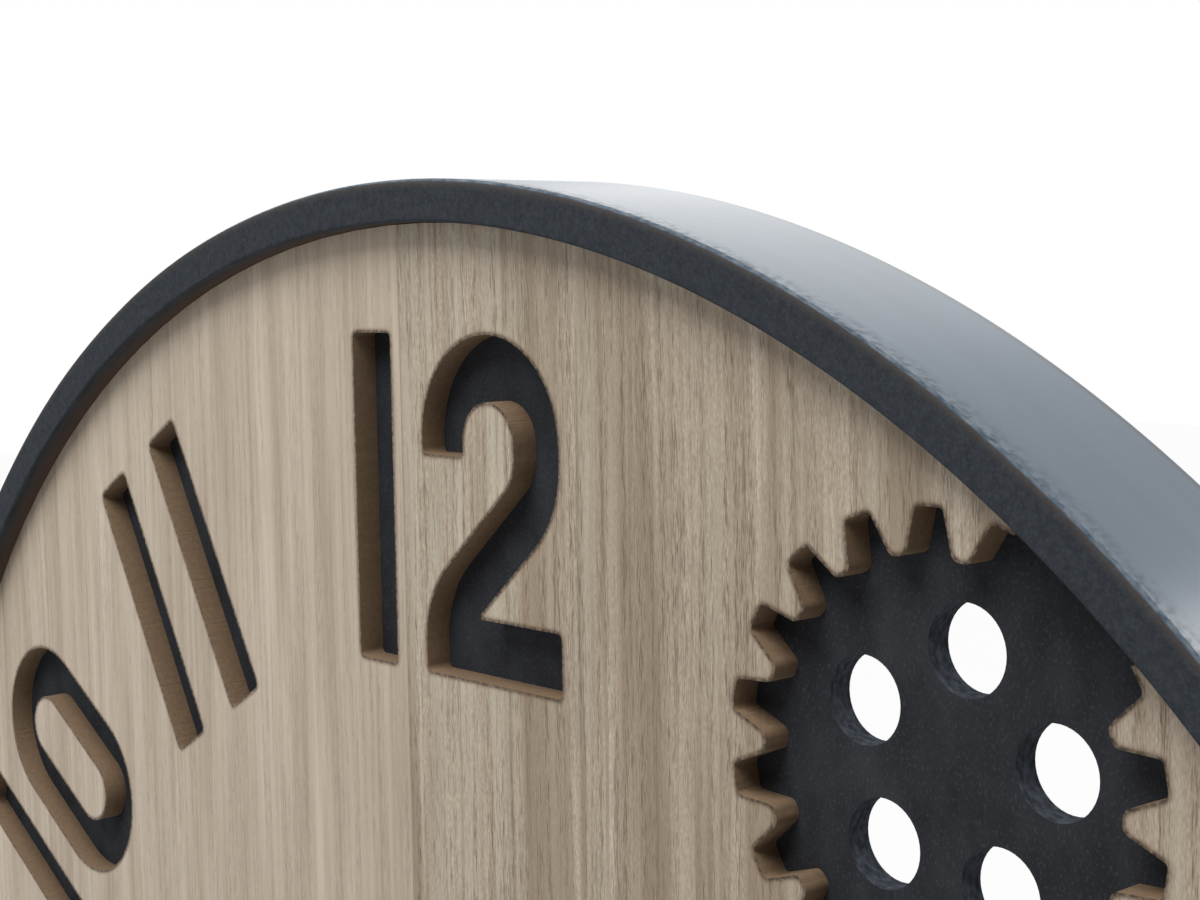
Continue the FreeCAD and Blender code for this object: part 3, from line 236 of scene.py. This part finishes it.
def laser_cut_veneer():
    """Veneer on the face, burnt wood on the walls, told apart by how they point along Y; walls darken
    backwards as painted shade.
    """
    material, tree, shader, place = start("laser_cut_oak_veneer")
    split, geometry = put(tree, "SeparateXYZ", {0: place}), put(tree, "NewGeometry")
    face, pores = veneer_face(tree, place, split)
    ragged = speckle(tree, place, (1.1, 1.1, 1.1), 0.36, 0.6)
    face = burnt_edges(tree, geometry, place, ragged, face)
    # Painted shade: the walls are drawn darker towards the back of each cut-out
    depth = put(tree, "MapRange", {"Value": split.outputs[1], "From Min": DIAL_FRONT, "From Max": DIAL_BACK,
                                   "To Max": 0.6})
    brown = put(tree, "Math", {0: ragged, 1: 0.25, 2: depth}, operation="MULTIPLY_ADD")
    walls = put(tree, "Mix", {0: brown, 6: "#87715a", 7: "#63503d"}, **COLOURS)
    facing = put(tree, "SeparateXYZ", {0: geometry.outputs["True Normal"]})
    upright = put(tree, "Math", {0: facing.outputs[1]}, operation="ABSOLUTE")
    on_face = put(tree, "MapRange", {"Value": upright, "From Min": 0.45, "From Max": 0.55})
    # The veneer is oiled and nearly matt; the burnt wall has a faint gloss
    rough = put(tree, "MapRange", {"Value": on_face, "To Min": 0.5, "To Max": 0.72})
    relief = put(tree, "Bump", {"Height": pores, "Distance": 0.06 * MM}, invert=True)
    feed(tree, shader, {"Base Color": put(tree, "Mix", {0: on_face, 6: walls, 7: face}, **COLOURS),
                        "Roughness": rough, "Normal": relief, "Specular IOR Level": 0.35})
    return material


dress(laser_cut_veneer(), "face_board", "numeral_islands")

# %% [markdown]
# The back board is the same kind of sheet, stained charcoal black and left matt. Wiping the stain left it
# faintly clouded and bluish, and the sawn walls of its round holes took it less evenly, with grey scuffs.

# %% Stained back board
DUST_SHARE = 0.3


def charcoal_stain():
    """Clouded charcoal with fine dust on the faces, and grey scuffs on the walls of the holes."""
    material, tree, shader, place = start("charcoal_stained_board")
    clouds = speckle(tree, place, (9, 9, 14), detail=5.0)
    colour = put(tree, "Mix", {0: clouds, 6: "#28292c", 7: "#34363a"}, **COLOURS)
    dust = speckle(tree, place, (0.6, 0.6, 0.8), 0.54, 0.75)
    dust = put(tree, "Math", {0: dust, 1: DUST_SHARE}, operation="MULTIPLY")
    colour = put(tree, "Mix", {0: dust, 6: colour, 7: "#565a61"}, **COLOURS)
    facing = put(tree, "SeparateXYZ", {0: put(tree, "NewGeometry").outputs["True Normal"]})
    upright = put(tree, "Math", {0: facing.outputs[1]}, operation="ABSOLUTE")
    wall = put(tree, "Math", {0: 1.0, 1: upright}, operation="SUBTRACT", use_clamp=True)
    scuffs = speckle(tree, place, (1.6, 1.2, 2.0), 0.35, 0.7)
    scuffed = put(tree, "Mix", {0: scuffs, 6: "#2b2e33", 7: "#484d55"}, **COLOURS)
    fuzz = speckle(tree, place, (0.5, 0.5, 2.0))
    sanded = put(tree, "Bump", {"Height": fuzz, "Distance": 0.05 * MM})
    feed(tree, shader, {"Base Color": put(tree, "Mix", {0: wall, 6: colour, 7: scuffed}, **COLOURS),
                        "Normal": sanded, "Roughness": 0.9, "Specular IOR Level": 0.04})
    return material


dress(charcoal_stain(), "back_board")

# %% [markdown]
# The hoop is bent wood under a slate lacquer. Its places are told apart by radius and by the way they face.
# The front is finely mottled and matt, a little browner at its outer edge. The inside is slate near the front
# and reddish brown where it meets the dial: painted shade and a painted reflection of the wood.

# %% Front and inside of the hoop
HOOP_RADIUS, HOOP_FRONT, HOOP_BACK = 300.0 * MM, -44.1 * MM, -1.5 * MM
BROWN_STARTS, BROWN_FULL = 2.4 * MM, 0.8 * MM      # within the outer radius
PAINTED_BOUNCE_STARTS, PAINTED_BOUNCE_FULL = 1.0 * MM, 6.0 * MM        # behind the front, on the inside
SPECK_SHARE, BROWN_SHARE = 0.18, 0.4


def hoop_front(tree, unrolled, radius):
    """Two mottled slates, fine pale specks, and brown that grows towards the outer edge."""
    colour = put(tree, "Mix", {0: speckle(tree, unrolled, (2.0, 2.0, 2.0), detail=5.0),
                               6: "#2b2f33", 7: "#35393e"}, **COLOURS)
    specks = put(tree, "Math", {0: speckle(tree, unrolled, (0.6, 0.6, 0.6), 0.46, 0.70), 1: SPECK_SHARE},
                 operation="MULTIPLY")
    colour = put(tree, "Mix", {0: specks, 6: colour, 7: "#565c62"}, **COLOURS)
    brown = put(tree, "MapRange", {"Value": radius, "From Min": HOOP_RADIUS - BROWN_STARTS,
                                   "From Max": HOOP_RADIUS - BROWN_FULL, "To Max": BROWN_SHARE})
    return put(tree, "Mix", {0: brown, 6: colour, 7: "#564d46"}, **COLOURS)


def hoop_inside(tree, unrolled, depth):
    """Slate that turns reddish brown with the depth behind the front, as painted shade and a painted
    reflection of the wood.
    """
    # Painted shade and painted reflection of the wood: reddish brown grows towards the dial
    painted_bounce_and_shade = put(tree, "MapRange", {"Value": depth, "From Min": HOOP_FRONT + PAINTED_BOUNCE_STARTS,
                                    "From Max": HOOP_FRONT + PAINTED_BOUNCE_FULL})
    slate = put(tree, "Mix", {0: speckle(tree, unrolled, (12, 2, 2)), 6: "#33373b", 7: "#3f4347"},
                **COLOURS)
    return put(tree, "Mix", {0: painted_bounce_and_shade, 6: slate, 7: "#54443a"}, **COLOURS)


# %% [markdown]
# Seen along its outside, the lacquer mirrors the bright room, as any smooth coat does at a flat angle, so it
# looks pale there and dark from the front; the outside's shade is also painted paler and bluer, a painted
# reflection of that room. The rounded front edge is rubbed thin: mottled, with pale and dark marks a
# millimetre or two across; the pale strip there is partly wear and partly a painted highlight. The back edge
# is dark.

# %% Outside of the hoop
MARKS_END, MARKS_FULL = 7.0 * MM, 1.5 * MM         # behind the front
RUB_AND_HIGHLIGHT_END, RUB_AND_HIGHLIGHT_FULL = 1.9 * MM, 0.9 * MM       # behind the front
DARK_STARTS, DARK_FULL = 2.4 * MM, 1.2 * MM        # before the back
MARK_SHARE, RUB_AND_HIGHLIGHT_SHARE, DARK_SHARE = 0.5, 0.3, 0.7


def hoop_outside(tree, unrolled, depth):
    """Lacquer painted paler as a painted reflection, with marks that fade out behind the front edge; also
    gives the marks.
    """
    # Painted reflection: the outside's slate is paler and bluer than the front's, standing in for the bright
    # room it mirrors
    colour = put(tree, "Mix", {0: speckle(tree, unrolled, (60, 9, 9)), 6: "#41515f", 7: "#495a69"},
                 **COLOURS)
    near_front = put(tree, "MapRange", {"Value": depth, "From Min": HOOP_FRONT + MARKS_END,
                                        "From Max": HOOP_FRONT + MARKS_FULL})
    marks = put(tree, "Math", {0: speckle(tree, unrolled, (1.5, 2.4, 2.4), 0.42, 0.62), 1: near_front},
                operation="MULTIPLY")
    share = put(tree, "Math", {0: marks, 1: MARK_SHARE}, operation="MULTIPLY")
    colour = put(tree, "Mix", {0: share, 6: colour, 7: "#33393f"}, **COLOURS)
    # Partly wear and partly a painted highlight: a pale strip on the rounded edge just behind the front
    rubbed_and_highlight = put(tree, "MapRange", {"Value": depth, "From Min": HOOP_FRONT + RUB_AND_HIGHLIGHT_END,
                                    "From Max": HOOP_FRONT + RUB_AND_HIGHLIGHT_FULL, "To Max": RUB_AND_HIGHLIGHT_SHARE})
    share = put(tree, "Math", {0: rubbed_and_highlight, 1: speckle(tree, unrolled, (2.2, 0.8, 0.8))},
                operation="MULTIPLY")
    colour = put(tree, "Mix", {0: share, 6: colour, 7: "#b3b9bd"}, **COLOURS)
    back_edge = put(tree, "MapRange", {"Value": depth, "From Min": HOOP_BACK - DARK_STARTS,
                                       "From Max": HOOP_BACK - DARK_FULL, "To Max": DARK_SHARE})
    return put(tree, "Mix", {0: back_edge, 6: colour, 7: "#2c3136"}, **COLOURS), marks


# %% [markdown]
# The three places now come together in one lacquer. The mirroring coat lies on the outside only, and is worn
# where the marks are.

# %% Slate lacquer
OUTER_STARTS = HOOP_RADIUS - 2.0 * MM
# How much of the surface's direction lies along Y: 1 on the flat front and back, 0 on the band
FRONT_ENDS, TURNED_OFF = 0.85, 0.65
COAT_STARTS, COAT_FULL = 0.4, 0.05
COAT_WEAR = -0.45                                  # what a full mark takes off the coat


def slate_lacquer():
    """Front, inside and outside of the hoop in one material, with a mirroring coat on the outside."""
    material, tree, shader, place = start("slate_lacquer_on_bent_wood")
    split = put(tree, "SeparateXYZ", {0: place})
    depth = split.outputs[1]
    flat = put(tree, "CombineXYZ", {0: split.outputs[0], 2: split.outputs[2]})
    radius = put(tree, "VectorMath", {0: flat}, operation="LENGTH")
    bearing = put(tree, "Math", {0: split.outputs[0], 1: split.outputs[2]}, operation="ARCTAN2")
    along = put(tree, "Math", {0: bearing, 1: HOOP_RADIUS}, operation="MULTIPLY")
    unrolled = put(tree, "CombineXYZ", {0: along, 1: depth, 2: radius})
    facing = put(tree, "SeparateXYZ", {0: put(tree, "NewGeometry").outputs["Normal"]})
    upright = put(tree, "Math", {0: facing.outputs[1]}, operation="ABSOLUTE")
    off_front = put(tree, "MapRange", {"Value": upright, "From Min": FRONT_ENDS, "From Max": TURNED_OFF})
    outer = put(tree, "Math", {0: radius, 1: OUTER_STARTS}, operation="GREATER_THAN")
    outside = put(tree, "Math", {0: off_front, 1: outer}, operation="MULTIPLY")
    band, marks = hoop_outside(tree, unrolled, depth)
    body = put(tree, "Mix", {0: off_front, 6: hoop_front(tree, unrolled, radius),
                             7: hoop_inside(tree, unrolled, depth)}, **COLOURS)
    satin = put(tree, "MapRange", {"Value": outside, "To Min": 0.8, "To Max": 0.5})
    # The rounded edge is rubbed through the coat, which starts where the surface has turned well outwards
    off_edge = put(tree, "MapRange", {"Value": upright, "From Min": COAT_STARTS, "From Max": COAT_FULL})
    coated = put(tree, "Math", {0: off_edge, 1: outer}, operation="MULTIPLY")
    unworn = put(tree, "Math", {0: marks, 1: COAT_WEAR, 2: coated}, operation="MULTIPLY_ADD", use_clamp=True)
    feed(tree, shader, {
        "Base Color": put(tree, "Mix", {0: outside, 6: body, 7: band}, **COLOURS), "Coat Weight": unworn,
        "Roughness": put(tree, "Math", {0: marks, 1: 0.15, 2: satin}, operation="MULTIPLY_ADD"),
        "Coat Roughness": 0.22, "Specular IOR Level": 0.06,
        "Normal": put(tree, "Bump", {"Height": speckle(tree, unrolled, (1.2, 1.2, 1.2)),
                                     "Distance": 0.02 * MM})})
    return material


dress(slate_lacquer(), "rim_hoop")

# %% [markdown]
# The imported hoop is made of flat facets, which show as small kinks along its bright front edge. A finer hoop
# takes its place: the same section of the same sizes is carried round a circle in half-degree steps. Its
# corners are rounded by sandpaper, the outer front one most, and their radius wanders a little with the
# angle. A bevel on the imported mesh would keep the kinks.

# %% The bent hoop, made smooth
HOOP_WALL, CORNER, FRONT_CORNER = 9.7 * MM, 0.8 * MM, 1.7 * MM
BESIDE_CORNER = 0.5 * MM                           # how far along the flat its extra points lie
WELD = 0.001 * MM                                  # points closer than this become one


def skin(name, grids, material, body):
    """Joins grids of points into one mesh: rows follow the path, columns go round the section and close."""
    count, rows, columns = grids.shape[:3]
    number = np.arange(grids[..., 0].size).reshape(count, rows, columns)
    following = np.roll(number, -1, axis=2)
    quads = np.stack([number[:, :-1], number[:, 1:], following[:, 1:], following[:, :-1]], axis=-1)
    mesh = bpy.data.meshes.new(name)
    mesh.from_pydata(grids.reshape(-1, 3).tolist(), [], quads.reshape(-1, 4).tolist())
    tidy = bmesh.new()
    tidy.from_mesh(mesh)
    bmesh.ops.remove_doubles(tidy, verts=tidy.verts, dist=WELD)
    bmesh.ops.recalc_face_normals(tidy, faces=tidy.faces)
    tidy.to_mesh(mesh)
    tidy.free()
    mesh.shade_smooth()
    mesh.materials.append(material)
    made = bpy.data.objects.new(name, mesh)
    bpy.context.scene.collection.objects.link(made)
    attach(made, body)
    print(name, "has", len(mesh.polygons), "faces")
    return made


def hoop_points(steps=720, across=9):
    """A rounded rectangle of radius and depth; each corner is an arc whose radius is a sum of slow sines of
    the angle, with one more point on the flat at either end of it; then the section is turned about Y."""
    turn = np.linspace(0, 2 * np.pi, steps + 1)[:, None]
    wander = 0.85 + 0.09 * np.sin(7 * turn + 1) + 0.06 * np.sin(23 * turn)
    radii, depths = [], []
    corners = [(HOOP_RADIUS, HOOP_FRONT, 1, -1, -90), (HOOP_RADIUS, HOOP_BACK, 1, 1, 0),
               (HOOP_RADIUS - HOOP_WALL, HOOP_BACK, -1, 1, 90),
               (HOOP_RADIUS - HOOP_WALL, HOOP_FRONT, -1, -1, 180)]
    for corner_radius, corner_depth, outwards, backwards, first in corners:
        lean = np.radians(np.linspace(first, first + 90, across))[None, :]
        worn = wander * (FRONT_CORNER if first == -90 else CORNER)
        radius = corner_radius + worn * (np.cos(lean) - outwards)
        depth = corner_depth + worn * (np.sin(lean) - backwards)
        before, after = np.radians(first - 90), np.radians(first + 180)
        radii += [radius[:, :1] + BESIDE_CORNER * np.cos(before), radius,
                  radius[:, -1:] + BESIDE_CORNER * np.cos(after)]
        depths += [depth[:, :1] + BESIDE_CORNER * np.sin(before), depth,
                   depth[:, -1:] + BESIDE_CORNER * np.sin(after)]
    radius, depth = np.hstack(radii), np.hstack(depths)
    return np.stack([radius * np.sin(turn), depth, radius * np.cos(turn)], axis=-1)


smooth_hoop = skin("smooth_hoop", hoop_points()[None], bpy.data.materials["slate_lacquer_on_bent_wood"],
                   "clock_body")
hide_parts("rim_hoop")

# %% [markdown]
# The small parts at the back and on the hands' post are plain workshop finishes. They share one recipe: two
# close shades mixed by grain of the real size, a roughness, and a relief as deep as that surface's own. What
# changes is the shade, the grain's size along each axis, and whether it is metal.

# %% Plain finishes
def plain(name, shades, grain_mm, roughness, depth_mm=0.02, metallic=0.0, spread=0.08):
    """Two shades mixed by noise of a grain in mm, which also varies the roughness by spread."""
    material, tree, shader, place = start(name)
    grain = speckle(tree, place, grain_mm, detail=4.0)
    feed(tree, shader, {
        "Base Color": put(tree, "Mix", {0: grain, 6: shades[0], 7: shades[1]}, **COLOURS),
        "Metallic": metallic,
        "Roughness": put(tree, "Math", {0: grain, 1: spread, 2: roughness}, operation="MULTIPLY_ADD"),
        "Normal": put(tree, "Bump", {"Height": grain, "Distance": depth_mm * MM})})
    return material


# Planed spruce: soft, yellowish, grain along the block
dress(plain("planed_spruce", ("#c9ae86", "#ad8e65"), (1.6, 1.6, 40), 0.6, 0.05), "glue_blocks")
dress(plain("planed_spruce_crosswise", ("#c9ae86", "#ad8e65"), (40, 1.6, 1.6), 0.6, 0.05), "hanger_block")
# Needle felt and moulded rubber: fibres and pores catch no light
dress(plain("grey_needle_felt", ("#55585c", "#3a3c40"), (0.5, 0.5, 0.5), 0.9, 0.15), "wall_pads")
dress(plain("moulded_rubber", ("#2a2a2b", "#1f1f20"), (0.8, 0.8, 0.8), 0.75), "dial_gasket")
# Zinc plate: dull silver with a spangle of a few millimetres
dress(plain("zinc_plated_steel", ("#c4c8cb", "#a7abb0"), (2.4, 2.4, 2.4), 0.34, 0.01, 1.0),
      "hanger_plate", "hanger_screws")
# Stove enamel on thin aluminium: fine orange peel
dress(plain("black_stove_enamel", ("#1d1d1e", "#252526"), (1.2, 1.2, 1.2), 0.42, 0.02),
      "hour_hand", "minute_hand")
# Turned brass: tool marks run round each piece, finer than a tenth of a millimetre, drawn at 0.3 mm
dress(plain("turned_brass", ("#d8b76c", "#c19c50"), (2.5, 0.3, 2.5), 0.24, 0.01, 1.0),
      "hand_nut", "threaded_bushing", "fixing_nut", "dial_washer", "minute_arbor")
# Spark-eroded ABS: a grain of about 0.4 mm
dress(plain("spark_eroded_abs", ("#27282a", "#2f3032"), (0.4, 0.4, 0.4), 0.55, 0.03),
      "movement_case", "movement_cover")
dress(plain("grey_abs", ("#6b6e71", "#777a7d"), (0.5, 0.5, 0.5), 0.5, 0.02), "setting_knob")
# Natural acetal: milky, slightly waxy
dress(plain("natural_acetal", ("#e9e5d8", "#dedac9"), (1.5, 1.5, 1.5), 0.38, 0.01),
      "hour_wheel", "centre_wheel", "third_wheel", "second_wheel", "fifth_wheel", "rotor_pinion",
      "motion_wheel", "coil_bobbin")
# Sintered magnet, stamped laminations, lacquered copper wire of about 0.1 mm, drawn at 0.25 mm
dress(plain("sintered_magnet", ("#5b5c60", "#47484c"), (0.3, 0.3, 0.3), 0.5, 0.02, 0.8), "rotor_magnet")
dress(plain("stamped_silicon_steel", ("#9b9da0", "#85878b"), (0.4, 0.12, 4.0), 0.36, 0.01, 1.0), "stator")
dress(plain("lacquered_copper_wire", ("#c6713f", "#8f4a26"), (30, 30, 0.25), 0.28, 0.04, 1.0), "coil_winding")
# Solder mask, nickel can, cast resin
dress(plain("green_solder_mask", ("#24613a", "#1c5230"), (1.2, 1.2, 1.2), 0.3, 0.01), "circuit_board")
dress(plain("drawn_nickel_can", ("#cfd0d2", "#bdbec1"), (0.6, 0.6, 6.0), 0.22, 0.005, 1.0), "quartz_can")
dress(plain("cast_resin", ("#151516", "#1d1d1e"), (1.5, 1.5, 1.5), 0.18, 0.01), "chip_cap")
dress(plain("nickel_plated_spring", ("#c9c7c0", "#b3b1aa"), (0.5, 0.5, 2.0), 0.26, 0.005, 1.0),
      "contact_plus", "contact_minus")

# %% [markdown]
# The cell is a steel can in a shrunk plastic sleeve. The sleeve ends where the can's flat ends begin, so the
# way a face points along X tells steel from sleeve. It carries no words, only a plain blue.

# %% Cell with its sleeve
def sleeved_cell():
    """A blue sleeve with bare steel at both ends."""
    material, tree, shader, place = start("shrunk_sleeve_on_steel_cell")
    facing = put(tree, "SeparateXYZ", {0: put(tree, "NewGeometry").outputs["True Normal"]})
    endwise = put(tree, "Math", {0: facing.outputs[0]}, operation="ABSOLUTE")
    steel = put(tree, "MapRange", {"Value": endwise, "From Min": 0.6, "From Max": 0.8})
    shrunk = speckle(tree, place, (6, 1, 1))
    sleeve = put(tree, "Mix", {0: shrunk, 6: "#2c4a74", 7: "#26426a"}, **COLOURS)
    creased = put(tree, "Bump", {"Height": speckle(tree, place, (8, 2, 2)), "Distance": 0.02 * MM})
    feed(tree, shader, {"Base Color": put(tree, "Mix", {0: steel, 6: sleeve, 7: "#b9bbbe"}, **COLOURS),
                        "Metallic": steel, "Roughness": 0.3, "Normal": creased})
    return material


dress(sleeved_cell(), "battery_cell")

# %% [markdown]
# White glue was pressed out when the eight blocks were rubbed into the corner of hoop and back board, and
# dried there in uneven, yellowish beads. Each bead is a thin closed tube along a block's inner edge: its
# radius swells and shrinks along the way and falls to nothing at both ends.

# %% Beads of glue
BLOCK_HALF, BLOCK_INNER, BOARD_BACK = 20.0 * MM, 275.46 * MM, -25.2 * MM
BEAD_RADIUS, BEAD_OFFSET, BEAD_COVER = 1.3 * MM, 0.3 * MM, 0.97


def bead_points(rows=41, columns=12):
    """A straight run with t from -1 to 1; its radius is the bead's own times slow sines of t and the root
    of 1 - t to the power 8."""
    share = np.linspace(-1, 1, rows)[None, :, None]
    bearing = np.radians(22.5 + 45 * np.arange(8))[:, None, None]
    round_it = np.linspace(0, 2 * np.pi, columns, endpoint=False)[None, None, :]
    waves = 0.22 * np.sin(9 * share + 5 * bearing) + 0.12 * np.sin(21 * share + 11 * bearing)
    swell = BEAD_RADIUS * (1 + waves)
    thick = swell * np.sqrt(np.clip(1 - share ** 8, 0, 1))
    across = share * BLOCK_HALF * BEAD_COVER + 0 * bearing + 0 * round_it
    outward = BLOCK_INNER - BEAD_OFFSET + thick * np.cos(round_it)
    depth = BOARD_BACK + BEAD_OFFSET + thick * np.sin(round_it)
    return np.stack([across * np.cos(bearing) + outward * np.sin(bearing), depth,
                     outward * np.cos(bearing) - across * np.sin(bearing)], axis=-1)


dried_glue = plain("dried_white_glue", ("#d9cba6", "#cbb98c"), (2, 2, 2), 0.24, 0.02)
feed(dried_glue.node_tree, dried_glue.node_tree.nodes["Principled BSDF"],
     {"Subsurface Weight": 0.2, "Subsurface Scale": 1.0 * MM})
skin("glue_beads", bead_points(), dried_glue, "clock_body")
assert dressed == set(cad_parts), set(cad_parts) - dressed

# %% [markdown]
# The clock stands on a pale floor in a white studio. The camera and anything glossy see plain white, which
# comes from the floor's and the world's own colour and not from more lamps, and the floor still takes a soft
# shadow.

# %% Floor and studio
FLOOR_HEIGHT, FLOOR_HALF = cad_low.z, 6.0          # metres
FLOOR_GLOW, FILL_LIGHT = 0.97, 0.1


def looked_at(tree):
    """1 for what the camera sees straight, or in something glossy or clear, and 0 for light on its way."""
    path = put(tree, "LightPath")
    in_gloss = put(tree, "Math", {0: path.outputs["Is Glossy Ray"], 1: path.outputs["Is Transmission Ray"]},
                   operation="MAXIMUM")
    return put(tree, "Math", {0: path.outputs["Is Camera Ray"], 1: in_gloss}, operation="MAXIMUM")


def studio_floor():
    """A square of four corners, flat at the height of the hoop's lowest point."""
    mesh = bpy.data.meshes.new("studio_floor")
    corners = np.array([[-1, -1, 0], [1, -1, 0], [1, 1, 0], [-1, 1, 0]], float) * FLOOR_HALF
    corners[:, 2] = FLOOR_HEIGHT
    mesh.from_pydata(corners.tolist(), [], [(0, 1, 2, 3)])
    made = bpy.data.objects.new("studio_floor", mesh)
    bpy.context.scene.collection.objects.link(made)
    material, tree, shader = start("white_paper_floor")[:3]
    feed(tree, shader, {"Base Color": "#e9e9e8", "Roughness": 0.9, "Specular IOR Level": 0.0})
    share = put(tree, "Math", {0: looked_at(tree), 1: FLOOR_GLOW}, operation="MULTIPLY")
    white = put(tree, "Emission", {"Color": "#ffffff", "Strength": 1.0})
    mixed = put(tree, "MixShader", {0: share, 1: shader, 2: white})
    feed(tree, tree.nodes["Material Output"], {"Surface": mixed})
    mesh.materials.append(material)


def studio_world(light):
    """White for the camera, mirrors and glass; a plain even light of the given strength for the rest."""
    world = bpy.data.worlds.new("white_studio")
    world.use_nodes = True
    tree = world.node_tree
    strength = put(tree, "MapRange", {"Value": looked_at(tree), "To Min": light, "To Max": 1.0})
    feed(tree, tree.nodes["Background"], {"Color": "#ffffff", "Strength": strength})
    bpy.context.scene.world = world


studio_floor()
studio_world(FILL_LIGHT)
bpy.context.scene.view_settings.view_transform = "Standard"

# %% [markdown]
# Four large lamps do the rest. One hangs above and in front: it brightens the dial and the upward walls
# of the cut-outs. One stands at the front left, so the dial falls off gently to the right. Two stand behind:
# the right one for the blocks and the movement, and a weak left one that glides over the top of the rim.
# Small lamps would give hard shadows in the cut-outs, so all are over a metre wide.

# %% Lamps
LAMPS = (
    # name, place, target and width in metres, power in watts
    ("lamp_above", (0.2, -0.82, 1.5), (0.05, -0.02, 0.1), 1.1, 27.0),
    ("lamp_front_left", (-1.1, -0.8, 0.32), (0.0, 0.0, 0.1), 1.1, 5.0),
    ("lamp_behind_right", (0.9, 1.5, 0.9), (0.0, 0.0, 0.0), 1.2, 14.0),
    ("lamp_behind_left", (-0.9, 1.5, 0.9), (0.0, 0.0, 0.0), 1.2, 1.6),
)


def lamp(name, place, target, size, power):
    """A round area lamp of a width that faces its target."""
    data = bpy.data.lights.new(name, "AREA")
    data.shape, data.size, data.energy = "DISK", size, power
    made = bpy.data.objects.new(name, data)
    made.matrix_world = (Matrix.Translation(place)
                         @ (Vector(place) - Vector(target)).to_track_quat("Z", "Y").to_matrix().to_4x4())
    bpy.context.scene.collection.objects.link(made)
    print(name, "of", power, "W")


for each in LAMPS:
    lamp(*each)
